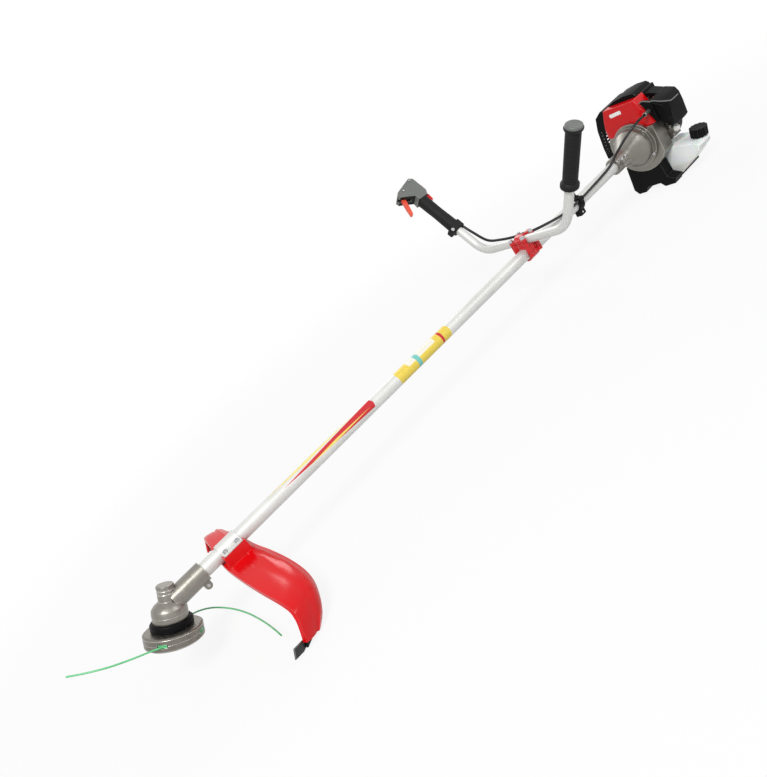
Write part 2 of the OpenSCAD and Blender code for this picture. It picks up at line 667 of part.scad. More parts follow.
// Clutch
neck_r = tube_r + 7;
neck_foot = -104;
neck_bolts = [-94, -80];
module neck_bolt_spots() for (x = neck_bolts) translate([x, -neck_r - 5, 9]) children();
module flange_spots() for (a = [62, 130, 230, 298]) rotate([a, 0, 0]) translate([0, 0, 53.2]) children();
module clutch_housing()
  color(cast) at_engine() difference() {
    union() {
      xturn([[0, neck_foot], [neck_r - 2, neck_foot], [neck_r, neck_foot + 2], [neck_r, -62], [neck_r + 5,
        -50],
        [40, -29], [47, -20], [49, -16], [49, -2],
        [57.5, -2], [57.5, 6], [0, 6]]);
      block([neck_foot + 4, -neck_r - 12, -9], [-72, -10, 9]);
    }
    xturn([[0, 7], [drum_d/2 + 3, 7], [drum_d/2 + 3, -16], [bearing_r, -20], [bearing_r, -38], [11, -38],
      [11, -40],
      [0, -40]]);
    xcyl(tube_r + clamp_gap, neck_foot - 2, -40 + eps);
    block([neck_foot - 1, -50, -0.8], [-70, -8, 0.8]);
    neck_bolt_spots() zcyl(2.5, -40, 20);
    flange_spots() xcyl(2, -10, 10);
  }

module clutch_drum()
  color(steel) at_engine()
    xturn([[drive_r + 0.02, -38.5], [5, -38.5], [5, -14.5], [drum_d/2, -14.5], [drum_d/2, 4],
      [drum_d/2 - 2.5, 4],
      [drum_d/2 - 2.5, -12], [0, -12], [0, -24], [drive_r + 0.02, -24]]);

shoe_r = drum_d/2 - 3.4;
module clutch_shoes()
  color(steel) at_engine()
    for (s = [15, 195])
      rotate([s, 0, 0]) difference() {
        rotate([0, 90, 0]) rotate_extrude(angle = 150) polygon([[13, -9], [shoe_r, -9], [shoe_r, 3], [13,
          3]]);
        rotate([75, 0, 0]) translate([0, 0, -24]) xcyl(3.1, -10, 4);
      }

// Flywheel with fan, crankshaft, rod and piston
fan_r = fan_d/2;
crank_mid = 74;
crank_r = 7.5;
crank_bearing_r = 17.5;
throw = 17;
module flywheel()
  color(cast) at_engine() difference() {
    union() {
      xturn([[7.5, 13], [13, 13], [16.5, 16], [fan_r - 8, 16], [fan_r - 4, 18], [fan_r - 4, 26], [7.5,
        26]]);
      for (k = [0:15])
        rotate([k*22.5, 0, 0]) block([25, -1.2, 24], [37, 1.2, fan_r]);
      for (s = [15, 195])
        rotate([s + 75, 0, 0]) translate([0, 0, -24]) xcyl(3, -9, 14);
      for (s = [15, 195])
        rotate([s + 75, 0, 0]) translate([0, 0, -24]) xcyl(6, 3, 17);
    }
    for (k = [0:3])
      rotate([k*90 + 11.25, 0, 0]) translate([0, 0, 40]) xcyl(6, 10, 30);
  }

module crankshaft()
  color(steel) at_engine() {
    xturn([[0, 2], [5, 2], [crank_r, 5], [crank_r, crank_mid - 18], [8.5, crank_mid - 18], [8.5,
      crank_mid - 16],
      [30, crank_mid - 16], [30, crank_mid - 7], [0, crank_mid - 7]]);
    xturn([[0, crank_mid + 7], [30, crank_mid + 7], [30, crank_mid + 16], [8.5, crank_mid + 16],
      [8.5, crank_mid + 18], [crank_r, crank_mid + 18], [crank_r, crank_mid + 44], [0, crank_mid + 44]]);
  }

module piston_rod()
  color(cast) at_engine() translate([crank_mid, 0, 0]) {
    difference() {
      zcyl(bore_d/2 - run_gap, 66, 94);
      zcyl(bore_d/2 - 4, 65, 86);
    }
    translate([0, 0, 76]) ycyl(5, -bore_d/2 + 4.2, bore_d/2 - 4.2);
    translate([0, 0, throw]) xcyl(6, -6.5, 6.5);
    translate([0, 0, throw]) xcyl(10, -4, 4);
    block([-2.5, -4, throw + 8], [2.5, 4, 72]);
    translate([0, 0, 76]) xcyl(7.5, -5, 5);
  }

function housing_line(y) = 34 + y*4/76;
module crankcase()
  color(cast) at_engine() difference() {
    union() {
      intersection() {
        xcyl(74, 6, 46);
        along_x(0, 60) polygon([[-63, -90], [90, -90], [90, housing_line(90)], [-63, housing_line(-63)]]);
      }
      xcyl(44, 44, 106);
      soft_block([46, -32, 0], [102, 32, 50], 6);
    }
    xcyl(46, 5, 11);
    difference() {
      xcyl(70, 10, 42);
      block([0, -90, -90], [60, -59, 90]);
    }
    xcyl(crank_bearing_r, crank_mid - 33, crank_mid - 19);
    xcyl(33, crank_mid - 20, crank_mid + 22);
    xcyl(crank_bearing_r, crank_mid + 21, crank_mid + 33);
    translate([crank_mid, 0, 0]) zcyl(bore_d/2 + 4, 0, 51);
    flange_spots() xcyl(2, 5, 10.5);
    starter_spots() xcyl(2, 90, 107);
  }

// Cylinder: fins around the barrel
fin_w = 64;
module cylinder_block()
  color(cast) at_engine() translate([crank_mid, 0, 0]) difference() {
    union() {
      soft_block([-26, -30, 50], [26, 30, 56], 5);
      zcyl(bore_d/2 + 4, 40, 101);
      for (k = [0:fin_count - 1])
        translate([0, 0, 60 + k*36/(fin_count - 1)]) soft_block([-32, -fin_w/2, 0], [24, fin_w/2, 2], 8);
      translate([0, -fin_w/2 - 3, 64]) ycyl(12, 0, 30);
      translate([0, 12, 76]) ycyl(13, 0, fin_w/2 - 8);
    }
    zcyl(bore_d/2, 39, 97);
    zcyl(5, 95, 102);
    translate([0, 0, 64]) ycyl(8, -fin_w, -10);
    translate([0, 0, 76]) ycyl(9, 10, fin_w);
  }

module spark_plug()
  color(milky) at_engine() translate([crank_mid, 0, 0])
    zturn([[0, 95], [4.9, 95], [4.9, 101], [8, 101], [8, 106], [5, 107], [4, 110.5], [2.2, 111], [2.2,
      114], [0, 114]]);

// Red cover over the front of the cylinder, black cover over its rear and the spark plug
cover_end = 52;
function cover_top(y) = 107 + y*3/44;
module cover_form(o)
  intersection() {
    along_x(6 + o, cover_end + (o > 0 ? 1 : 0))
      polygon([[o - 70, housing_line(-70) - (o > 0 ? 1 : 0)], [76 - o, housing_line(76) - (o > 0 ? 1 : 0)],
        [44 - o, cover_top(44) - o], [-44 + o, cover_top(-44) - o]]);
    along_z(20, 120)
      polygon([[6 + o, -40 + o/2], [6 + o, 56 - o/2], [9 + o, 64 - o/2], [18 + o/2, 76 - o], [60, 76 - o],
        [60, -70 + o], [30 + o/2, -70 + o], [12 + o, -56 + o/2]]);
  }
module engine_cover()
  color(red) at_engine() difference() {
    cover_form(0);
    cover_form(3);
  }

module plug_cover()
  color(black) at_engine() difference() {
    union() {
      along_x(cover_end, crank_mid + 30)
        polygon([[-46, 58], [48, 58], [44, cover_top(44)], [-44, cover_top(-44)]]);
      along_x(crank_mid - 46, crank_mid + 22)
        polygon([[-42, cover_top(-42)], [42, cover_top(42)], [34, 114], [22, 117.5], [-8, 119], [-34, 116],
          [-41, 110]]);
    }
    along_x(cover_end - 1, crank_mid + 27)
      polygon([[-43, 57], [45, 57], [41, cover_top(41) - 3], [-41, cover_top(-41) - 3]]);
    along_x(crank_mid - 43, crank_mid + 19)
      polygon([[-39, 98], [39, 98], [38, 106], [32, 111], [21, 114.5], [-8, 116], [-32, 113], [-38, 108]]);
    block([50, -60, 50], [95, -38, 86]);
    translate([crank_mid, 0, 76]) ycyl(14, 30, 60);
  }

// Muffler and its slotted guard on the right side
muffler_out = 76;
module muffler()
  color(steel) at_engine() {
    soft_block([54, 58, 16], [106, muffler_out, 90], 6);
    translate([crank_mid, 0, 76]) difference() {
      ycyl(13, fin_w/2 + 4, 60);
      ycyl(9, fin_w/2, 59);
    }
    translate([98, 67, 28]) xcyl(7, 0, 18);
  }

module muffler_guard()
  color(black) at_engine() difference() {
    union() {
      difference() {
        along_x(16, 114)
          polygon([[80, -12], [104, -12], [102, 19], [94, 66], [82, 98], [62, 110], [50, 110], [80, 40]]);
        along_x(19, 111)
          polygon([[40, -9], [101, -9], [99, 19], [91, 65], [79.5, 95.5], [61, 107], [40, 107]]);
      }
      for (q = [[36, 97.5], [64, 92.5]])
        translate([80, 0, q[0]]) ycyl(5, muffler_out, q[1]);
    }
    for (k = [0:7]) block([26, 86, 2 + 9*k], [70, 130, 6 + 9*k]);
    for (k = [0:7]) block([90, 86, 2 + 9*k], [106, 130, 6 + 9*k]);
    for (k = [0:6]) block([10, 84, 2 + 9*k], [24, 97 - 1.2*k, 6 + 9*k]);
  }

// Carburettor, filter and controls on the left side
carb_z = 64;
primer_spot = [60, 0, -13];
primer_r = 8;
choke_spot = [98, 0, 24];
case_y = -72;
lid_y = -80;
module carburettor()
  color(cast) at_engine() difference() {
    union() {
      translate([crank_mid, 0, carb_z]) ycyl(12, -48, -fin_w/2 - 3);
      soft_block([crank_mid - 19, case_y, carb_z - 18], [crank_mid + 19, -47, carb_z + 14], 4);
      soft_block([crank_mid - 21, case_y + free_gap, -30], [crank_mid + 10, -54, carb_z - 12], 4);
      translate(primer_spot) ycyl(primer_r + 2.5, -78, -60);
      translate([0, cable_end[1], cable_end[2]]) xcyl(5, cable_end[0] - 12, crank_mid - 16);
    }
    translate([crank_mid, 0, carb_z]) ycyl(8, -80, -30);
    translate([crank_mid, -60, 0]) zcyl(8.5 + run_gap, carb_z - 12, carb_z + 15);
    translate([0, cable_end[1], cable_end[2]]) xcyl(cable_r + 0.4, cable_end[0] - 13, cable_end[0] + 0.05);
    translate(primer_spot) ycyl(primer_r + free_gap, -79, -66);
  }

module throttle_barrel()
  color(steel) at_engine() translate([crank_mid, -60, 0]) difference() {
    union() {
      zcyl(8.5, carb_z - 11.5, carb_z + 16);
      zcyl(6, carb_z + 15, carb_z + 18);
      soft_block([-16, -4, carb_z + 15], [2, 4, carb_z + 17.5], 3);
    }
    translate([0, 0, carb_z]) ycyl(6, -20, 20);
  }

lid_front = 18;
lid_rear = 86;
module filter_case()
  color(black) at_engine() difference() {
    union() {
      along_y(lid_y, case_y) translate([68.5, 43]) rounded(43, 86, 8);
      along_y(lid_y, case_y) translate([96, choke_spot[2]]) rounded(28, 18, 8);
      along_x(lid_front - 4, lid_front)
        polygon([[lid_y, 30], [-73, 30], [-63.5, 60], [-52, 90], [-60, 93], [lid_y, 85]]);
      block([lid_front - 4, lid_y, 30], [50, -77.5, 85]);
      along_x(52, lid_rear) polygon([[-76, carb_z + 19.5], [-47.5, 88], [-47.5, 98], [-58, 96], [lid_y,
        85]]);
    }
    translate([crank_mid, 0, carb_z]) ycyl(8, -90, -60);
    translate([0, cable_end[1], cable_end[2]]) xcyl(5.6, lid_front - 8, lid_front + 4);
    translate(choke_spot) ycyl(2.5 + run_gap, -90, -60);
  }

module lid_form(o)
  intersection() {
    along_x(lid_front + o, lid_rear - o)
      polygon([[lid_y + (o > 0 ? 1 : 0), o], [-96, o], [-107 + o, 7 + o/2], [-115 + o, 60], [-104 + o/2,
        75 - o],
        [lid_y + (o > 0 ? 1 : 0), 86 - o]]);
    along_z(-5, 100)
      polygon([[lid_front + o, -70], [lid_rear - o, -70], [lid_rear - o, -102 + o/2], [lid_rear - 6 - o/2,
        -112 + o],
        [lid_rear - 12, -115 + o], [lid_front + 16, -115 + o], [lid_front + 7 + o/2, -112 + o],
        [lid_front + o, -102 + o/2]]);
    along_y(-120, -60)
      polygon([[lid_front - 1, 31 + o], [50 + o/2, o], [lid_rear + 1, o], [lid_rear + 1, 100],
        [lid_front - 1, 100]]);
  }
module filter_cover()
  color(black) at_engine() {
    difference() {
      lid_form(0);
      lid_form(3);
    }
    along_x(lid_front - 2, lid_front + 0.5) polygon([[-81, 78], [-101, 65], [-101, 61.5], [-81, 74.5]]);
  }

module choke_lever()
  color(grey) at_engine() translate(choke_spot) {
    ycyl(2.5, lid_y + 1, -66);
    along_y(case_y + 0.4, -68.4) translate([13, 0]) rounded(38, 8, 3.5);
    translate([28, 0, 0]) soft_block([-4, -78, -6], [4, -66, 6], 3);
  }

module primer_bulb()
  color(milky) at_engine() translate(primer_spot)
    rotate([90, 0, 0]) zturn([[0, 73], [primer_r, 73], [primer_r, 80], [primer_r - 1.5, 85],
      [primer_r - 5, 88], [0, 88.5]]);

// Recoil starter at the rear
starter_front = 106;
starter_end = 150;
pulley_r = pulley_d/2;
pull_y = pulley_r - 3;
module starter_spots() for (a = [55, 125, 235, 305]) rotate([a, 0, 0]) translate([0, 0, 39]) children();
module starter_case()
  color(black) at_engine() difference() {
    union() {
      xturn([[0, starter_front], [50, starter_front], [54, starter_front + 6], [52, 138], [40, starter_end],
        [0, starter_end]]);
      block([122, pull_y - 9, 30], [142, pull_y + 9, 66]);
    }
    xturn([[0, starter_front - 1], [pulley_r + 8, starter_front - 1], [pulley_r + 8, 141], [5, 141], [5,
      147],
      [0, 147]]);
    translate([132, pull_y, 0]) zcyl(3.5, 20, 70);
    starter_spots() xcyl(2.1, 100, 160);
    for (k = [0:11]) rotate([15 + 30*k, 0, 0]) block([145, -2, 16], [152, 2, 32]);
  }

module starter_pulley()
  color(grey) at_engine()
    xturn([[0, 122], [12, 122], [12, 126], [pulley_r, 126], [pulley_r, 129], [pulley_r - 5, 130],
      [pulley_r - 5, 134],
      [pulley_r, 135], [pulley_r, 138], [5 - run_gap, 138], [5 - run_gap, 146], [0, 146]]);

module starter_handle()
  color(black) at_engine() translate([132, pull_y, 0]) {
    zcyl(2, 30, 72);
    zcyl(6, 67, 78);
    along_y(-7, 7) translate([0, 84]) rounded(56, 14, 6);
  }

// Fuel tank, cap and hose
tank_foot = -122;
tank_slope = atan(0.25);
module tank_form(o)
  intersection() {
    along_x(47 + o, 118 - o)
      polygon([[30 - o, -46 - o], [-40, -46 - o], [-112, -64 - o], [-120 + o, -71 - o/2], [-115 + o,
        -82 + o/2],
        [-52 + o/2, tank_foot + o], [30 - o, tank_foot + o]]);
    along_z(-130, -40)
      polygon([[40, 40], [97 - o, 40], [97 - o, -28 - o], [106 - o/2, -36 - o], [112 - o/2, -36 - o],
        [118 - o, -44 - o/2], [118 - o, -92 + o/2], [108 - o/2, -112 + o/2], [94, -130], [58, -130],
        [47 + o/2, -112 + o/2], [40, -90]]);
  }
cap_spot = [94, -101, -61.25];
module at_cap() translate(cap_spot) rotate([tank_slope, 0, 0]) children();
neck_out = 16;
neck_in = 13;
module fuel_tank()
  color(milky) at_engine() difference() {
    union() {
      tank_form(0);
      at_cap() zcyl(neck_out, -3, 9);
    }
    tank_form(2.5);
    at_cap() zcyl(neck_in, -5, 10);
    translate([60, -36, -60]) zcyl(3, 0, 20);
  }

module tank_cap()
  color(black) at_engine() at_cap() {
    difference() {
      zcyl(21, 0.8, 23);
      zcyl(neck_out + free_gap, 0, 19);
      for (k = [0:11]) rotate([0, 0, 30*k]) translate([23.4, 0, 0]) zcyl(4, 0, 24);
    }
    zcyl(neck_in - free_gap, 3, 20);
  }

hose_route = [[60, -36, -57], [60, -36, -47], [60, -40, -33], [60, -46, -25], [60, -50, -23], [60, -53.9,
  -23]];
module fuel_lines()
  color(grey) at_engine() cord(curve(hose_route, 4), [1, 0.2, 0.1], 2.5, 8);

// Stand under the fan housing and the tank
module engine_stand()
  color(black) at_engine() difference() {
    union() {
      along_x(10, 42) polygon([[-30, -50], [62, -50], [72, -shaft_z + 14], [63, -shaft_z], [40, -shaft_z],
        [30, -shaft_z + 12], [-8, -shaft_z + 12], [-18, -shaft_z], [-48, -shaft_z], [-55, -shaft_z + 12],
        [-34, -shaft_z + 24]]);
      block([30, -52, -shaft_z + 4], [128, 34, tank_foot]);
      block([108, -24, -shaft_z], [128, 24, -shaft_z + 12]);
      block([108, -20, -shaft_z + 4], [114, 20, -62]);
    }
    xcyl(74, 0, 60);
  }

gear_case();
gear_cover();
pinion();
shaft_bearings();
crown_gear();
spindle();
spindle_bearings();
dust_ring();
head_base();
head_lid();
head_fasteners();
line_front();
line_rear();
guard_shell();
guard_clamp();
line_knife();
guard_flap();
shaft_tube();
drive_shaft();
shaft_bushes();
hanger_clamp();
handle_base();
handle_saddle();
handle_cap();
clamp_bolts();
handlebar();
left_grip();
throttle_shell();
throttle_lid();
throttle_trigger();
trigger_lockout();
stop_switch();
throttle_cable();
cover_screws();
clutch_housing();
clutch_drum();
clutch_shoes();
flywheel();
crankcase();
crankshaft();
piston_rod();
cylinder_block();
engine_cover();
plug_cover();
spark_plug();
muffler();
muffler_guard();
carburettor();
throttle_barrel();
filter_case();
filter_cover();
choke_lever();
primer_bulb();
starter_case();
starter_pulley();
starter_handle();
fuel_tank();
tank_cap();
fuel_lines();
engine_stand();
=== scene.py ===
# %% [markdown]
# # A petrol brush cutter
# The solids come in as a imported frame: they give every piece its place, its size and its motion. This script
# gives them their looks. It rounds the moulded and cast edges, models the small pieces that only the eye
# needs, makes the finishes from nodes, and sets up the camera, the floor and the light.

# %% Load the frame
import json
import math
import bpy
from mathutils import Matrix, Vector

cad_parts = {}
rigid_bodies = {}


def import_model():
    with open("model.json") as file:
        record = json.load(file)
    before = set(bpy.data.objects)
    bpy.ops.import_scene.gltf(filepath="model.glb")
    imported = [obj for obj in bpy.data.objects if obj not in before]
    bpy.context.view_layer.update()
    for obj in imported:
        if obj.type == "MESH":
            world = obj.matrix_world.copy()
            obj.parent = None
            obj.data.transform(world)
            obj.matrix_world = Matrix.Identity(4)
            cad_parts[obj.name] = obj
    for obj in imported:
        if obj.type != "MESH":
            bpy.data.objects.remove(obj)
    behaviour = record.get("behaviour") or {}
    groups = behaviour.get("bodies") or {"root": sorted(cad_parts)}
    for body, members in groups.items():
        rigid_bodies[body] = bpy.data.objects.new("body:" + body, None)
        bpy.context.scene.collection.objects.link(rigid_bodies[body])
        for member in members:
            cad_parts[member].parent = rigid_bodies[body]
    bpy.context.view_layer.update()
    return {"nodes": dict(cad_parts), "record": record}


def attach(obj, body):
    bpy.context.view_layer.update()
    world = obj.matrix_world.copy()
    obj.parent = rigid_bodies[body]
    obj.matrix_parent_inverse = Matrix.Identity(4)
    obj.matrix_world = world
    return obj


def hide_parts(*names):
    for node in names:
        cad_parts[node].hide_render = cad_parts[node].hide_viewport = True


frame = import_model()
nodes = frame["nodes"]
record = frame["record"]
scene = bpy.context.scene
MM = 0.001
body_of = {node: body for body, names in record["behaviour"]["bodies"].items() for node in names}
slot_of = {entry["node"]: entry["material_slot"] for entry in record["subparts"]}

# %% [markdown]
# ## Camera
# The machine lies across the picture with its cutting head close to the lens, so the perspective is strong.
# The lens and the place were worked out from the straight tube, the two grips and the round head. The three
# columns below are the camera's own right, up and backward directions.

# %% Camera
lens_data = bpy.data.cameras.new("photo_camera")
lens_data.sensor_fit = "HORIZONTAL"
lens_data.sensor_width = 36
lens_data.lens = 31.97
camera = bpy.data.objects.new("photo_camera", lens_data)
scene.collection.objects.link(camera)
right = Vector((0.6607, -0.4938, -0.5654))
up = Vector((0.6476, -0.0058, 0.7619))
back = Vector((-0.3795, -0.8696, 0.3159))
turn = Matrix((right, up, back)).transposed().to_4x4()
lens_place = Vector((-1.5778, -1.1707, 0.5630))
camera.matrix_world = Matrix.Translation(lens_place) @ turn
scene.camera = camera
print("camera at", [round(x, 3) for x in camera.location])

# %% [markdown]
# ## Frames of the machine
# Some places have a frame of their own. The line head turns about a spindle that leans 30 degrees, each hand
# grip leans out from the handlebar, and the engine's sizes are counted from the face of its clutch housing.
# These matrices carry a point from there to the machine.

# %% Tilted frames
SHAFT_END = Vector((-1.618, 0, 0.130))
SPINDLE_LEAN = math.radians(30)
spindle_frame = Matrix.Translation(SHAFT_END) @ Matrix.Rotation(SPINDLE_LEAN, 4, "Y")
BAR_CLAMP = SHAFT_END + Vector((1.040, 0, 0.028))
BAR_LEAN = math.radians(4)
bar_frame = Matrix.Translation(BAR_CLAMP) @ Matrix.Rotation(BAR_LEAN, 4, "Y")
GRIP_SIDE, GRIP_RISE = 0.19143, 0.07883
GRIP_LEAN = math.radians(55)


def grip_frame(side):
    """The frame of a hand grip where it starts on the bar: side is 1 on the right and -1 on the left."""
    return (bar_frame @ Matrix.Translation((0, side*GRIP_SIDE, GRIP_RISE))
            @ Matrix.Rotation(side*GRIP_LEAN, 4, "X"))


right_grip_frame, left_grip_frame = grip_frame(1), grip_frame(-1)
ENGINE_FACE = Vector((-0.118, 0, SHAFT_END.z))
engine_frame = Matrix.Translation(ENGINE_FACE)
# The cutting line lies this far along the spindle, in mm
LINE_HEIGHT = -49
print("line head at", [round(x, 3) for x in spindle_frame @ Vector((0, 0, LINE_HEIGHT*MM))])

# %% [markdown]
# ## Cutting line
# Two ends of thick nylon line leave the head and curl in its own plane, because the line keeps the bend of
# the reel it came from. Each is one smooth curve with a round section, along the route of its solid.
# A curve is the natural tool for a cord: its length can be measured and its section stays round in each bend.

# %% Cutting line
def smooth_through(points, steps):
    """Points on a smooth curve that passes through the given ones."""
    curve = []
    last = len(points) - 1
    for i in range(last):
        a, b, c, d = (points[k] for k in (max(i - 1, 0), i, i + 1, min(i + 2, last)))
        for t in (k/steps for k in range(steps)):
            curve.append(0.5*(2*b + t*(c - a) + t*t*(2*a - 5*b + 4*c - d) + t**3*(3*b - a - 3*c + d)))
    return curve + [points[last]]


def cord_curve(name, points, radius):
    """A round cord along the points, as a curve with one open spline."""
    data = bpy.data.curves.new(name, "CURVE")
    data.dimensions = "3D"
    # The section is drawn 1 m deep and each point scales it down, so that the curve's own box fits the cord
    data.bevel_depth = 1
    data.bevel_resolution = 5
    data.use_fill_caps = True
    spline = data.splines.new("POLY")
    spline.points.add(len(points) - 1)
    for spot, point in zip(spline.points, points):
        spot.co = (*point, 1)
        spot.radius = radius
    spline.use_smooth = True
    piece = bpy.data.objects.new(name, data)
    scene.collection.objects.link(piece)
    return piece


# Points in the plane of the head, in mm
line_routes = {
    "line_front": [(-14, -20), (-27, -40), (-48, -42), (-78, -45), (-110, -44), (-142, -35),
                   (-169.3, -22.3)],
    "line_rear": [(13, 20), (27, 40), (52, 62), (80, 58), (104, 26), (120, -20), (128, -72), (131, -118),
                  (131, -162)],
}
LINE_RADIUS = 0.0015
MOST_STEPS = 39
nylon_pieces = []
for node, route in line_routes.items():
    steps = MOST_STEPS//(len(route) - 1)
    path = smooth_through([spindle_frame @ (Vector((x, y, LINE_HEIGHT))*MM) for x, y in route], steps)
    piece = cord_curve(node + "_nylon", path, LINE_RADIUS)
    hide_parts(node)
    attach(piece, "head")
    nylon_pieces.append(piece)

# %% [markdown]
# The head pinches its line between two discs. Where the line runs round inside, it shows through four open
# windows in the rim: two turns of green, one over the other. Each turn is a short arc of the same cord.

# %% Line in the windows of the head
def pick(*pieces):
    """Selects these pieces alone, with the first one active."""
    bpy.ops.object.select_all(action="DESELECT")
    for piece in pieces:
        piece.select_set(True)
    bpy.context.view_layer.objects.active = pieces[0]


# Radius of the arcs and half the step between two turns in mm, then angles in degrees
WINDOW_RADIUS, HALF_STEP = 48.2, 1.6
WINDOW_MIDDLES = (-124, -34, 56, 146)
ARC_STEPS = range(-9, 10, 3)
for k, middle in enumerate(WINDOW_MIDDLES):
    turns = []
    for height in (LINE_HEIGHT + HALF_STEP, LINE_HEIGHT - HALF_STEP):
        angles = [math.radians(middle + step) for step in ARC_STEPS]
        arc = [spindle_frame @ (Vector((WINDOW_RADIUS*math.cos(a), WINDOW_RADIUS*math.sin(a), height))*MM)
               for a in angles]
        turns.append(cord_curve("window_line", arc, LINE_RADIUS))
    pick(*turns)
    bpy.ops.object.convert(target="MESH")
    bpy.ops.object.join()
    piece = bpy.context.view_layer.objects.active
    piece.name = "window_line_%d" % k
    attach(piece, "head")
    nylon_pieces.append(piece)
print("line in", len(WINDOW_MIDDLES), "windows")

# %% [markdown]
# ## Cable and hose
# The throttle cable has a smooth plastic sheath. It leaves the grip, follows the bar, passes the clip on the
# clamp and the hanger on the tube, and ends in the carburettor. The fuel hose is a short bend from the tank.
# Both are fixed at both ends, so they keep their shape. A curve through the solid's own points is smoother
# than the solid.

# %% Cable and hose
# Radius in mm, then the points in mm
fixed_routes = {
    "throttle_cable": (3.2, [
        (-558.9, 190.8, 245.3), (-560.0, 179.6, 229.4), (-559.5, 161.9, 207.5), (-560, 128, 176),
        (-559, 85, 167), (-556, 45, 163), (-552.7, 16, 163.2), (-552.7, 4, 163.2), (-552.7, -9, 163.2),
        (-552.7, -18, 163.2), (-528, -28, 158), (-468, -22, 144), (-416, -18, 138), (-396, -18, 138),
        (-376, -18, 138), (-356, -18, 138), (-258, -17, 143), (-216, -21, 157), (-182, -36, 175),
        (-156, -57, 190), (-138, -66.4, 194), (-125, -66.4, 194), (-112, -66.4, 194)]),
    "fuel_lines": (2.5, [
        (-58, -36, 73), (-58, -36, 83), (-58, -40, 97), (-58, -46, 105), (-58, -50, 107), (-58, -53.9, 107)]),
}
CABLE_STEPS = 8
sheaths = {}
for node, (radius, route) in fixed_routes.items():
    path = smooth_through([Vector(p)*MM for p in route], CABLE_STEPS)
    piece = cord_curve(node + "_sheath", path, radius*MM)
    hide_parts(node)
    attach(piece, body_of[node])
    sheaths[node] = piece
print(", ".join(sheaths))

# %% [markdown]
# ## Rounded edges
# A moulded or cast piece never has a knife edge: the tool that forms it has a small radius, and that radius
# is what catches the light. A copy of each outer solid is merged, its flat faces are joined, and a bevel
# rounds the sharp edges. Each radius is one at which the piece's small features stay sound. The new faces get
# a second finish, lighter than the faces: partly a painted highlight along every edge, and partly the rubbing
# that an edge gets first. The copy then stands for its solid.

# %% Rounded copies of the outer solids
MERGE_GAP = 0.00002
FLAT_TURN, EDGE_TURN, SMOOTH_TURN = math.radians(0.6), math.radians(50), math.radians(38)


def rounded_copy(node, radius_mm):
    """A copy of a solid, with each edge rounded where its faces turn by more than EDGE_TURN."""
    pick(nodes[node])
    bpy.ops.object.duplicate()
    piece = bpy.context.view_layer.objects.active
    bpy.ops.object.parent_clear(type="CLEAR_KEEP_TRANSFORM")
    piece.name = node + "_rounded"
    # Two empty slots: one for the faces and one for the rounded edges
    piece.data.materials.clear()
    piece.data.materials.append(None)
    piece.data.materials.append(None)
    bpy.ops.object.mode_set(mode="EDIT")
    bpy.ops.mesh.select_all(action="SELECT")
    bpy.ops.mesh.remove_doubles(threshold=MERGE_GAP)
    bpy.ops.mesh.dissolve_limited(angle_limit=FLAT_TURN)
    bpy.ops.object.mode_set(mode="OBJECT")
    bevel = piece.modifiers.new("edge_radius", "BEVEL")
    bevel.width = radius_mm*MM
    bevel.segments = 3
    bevel.limit_method = "ANGLE"
    bevel.angle_limit = EDGE_TURN
    bevel.use_clamp_overlap = False
    bevel.loop_slide = False
    # The rounded edges take the second slot: a lighter finish, partly painted highlight and partly rubbing
    bevel.material = 1
    bpy.ops.object.modifier_apply(modifier=bevel.name)
    bpy.ops.object.shade_smooth_by_angle(angle=SMOOTH_TURN)
    # Large faces lead the shading, so they stay flat and only the rounded edges turn the light
    weighted = piece.modifiers.new("large_faces_lead", "WEIGHTED_NORMAL")
    weighted.keep_sharp = True
    bpy.ops.object.modifier_apply(modifier=weighted.name)
    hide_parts(node)
    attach(piece, body_of[node])
    return piece


# Radius of the rounded edges in mm
edge_radius = {
    "gear_case": 0.32, "gear_cover": 0.3, "dust_ring": 0.5, "head_base": 0.33, "head_lid": 0.33,
    "spindle": 0.3, "head_fasteners": 0.3, "guard_shell": 0.28, "guard_clamp": 0.5, "line_knife": 0.3,
    "guard_flap": 0.5, "shaft_tube": 0.3, "handlebar": 0.3, "hanger_clamp": 0.24, "handle_base": 0.2,
    "handle_saddle": 0.27, "handle_cap": 0.2, "clamp_bolts": 0.25, "cover_screws": 0.2,
    "throttle_shell": 0.26, "throttle_lid": 0.26, "throttle_trigger": 1.0, "trigger_lockout": 0.8,
    "stop_switch": 0.6, "clutch_housing": 0.45, "crankcase": 0.59, "engine_cover": 1.25,
    "plug_cover": 0.8, "muffler_guard": 0.78, "muffler": 0.22, "carburettor": 0.39, "filter_case": 0.24,
    "filter_cover": 0.4, "choke_lever": 0.13, "primer_bulb": 0.4, "starter_case": 0.6,
    "starter_handle": 0.48, "fuel_tank": 0.8, "tank_cap": 0.4, "engine_stand": 0.8,
}
rounded = {node: rounded_copy(node, radius) for node, radius in edge_radius.items()}
shown = dict(nodes)
shown.update(rounded)
faces = sum(len(piece.data.polygons) for piece in rounded.values())
print(len(rounded), "pieces with rounded edges,", faces, "faces")

# %% [markdown]
# ## Left grip
# The left hand holds a rubber sleeve with fine rings, between two collars that keep the hand in place. Its
# form is turned, so it is drawn up from a circle, ring by ring: extrude, move up, scale. A separate grey cap
# closes the open end. Both are made along the upright axis and then turned into the grip's own frame.

# %% A turned form, drawn up from a circle
SIDES = 56
ROUND_TURN = math.radians(50)


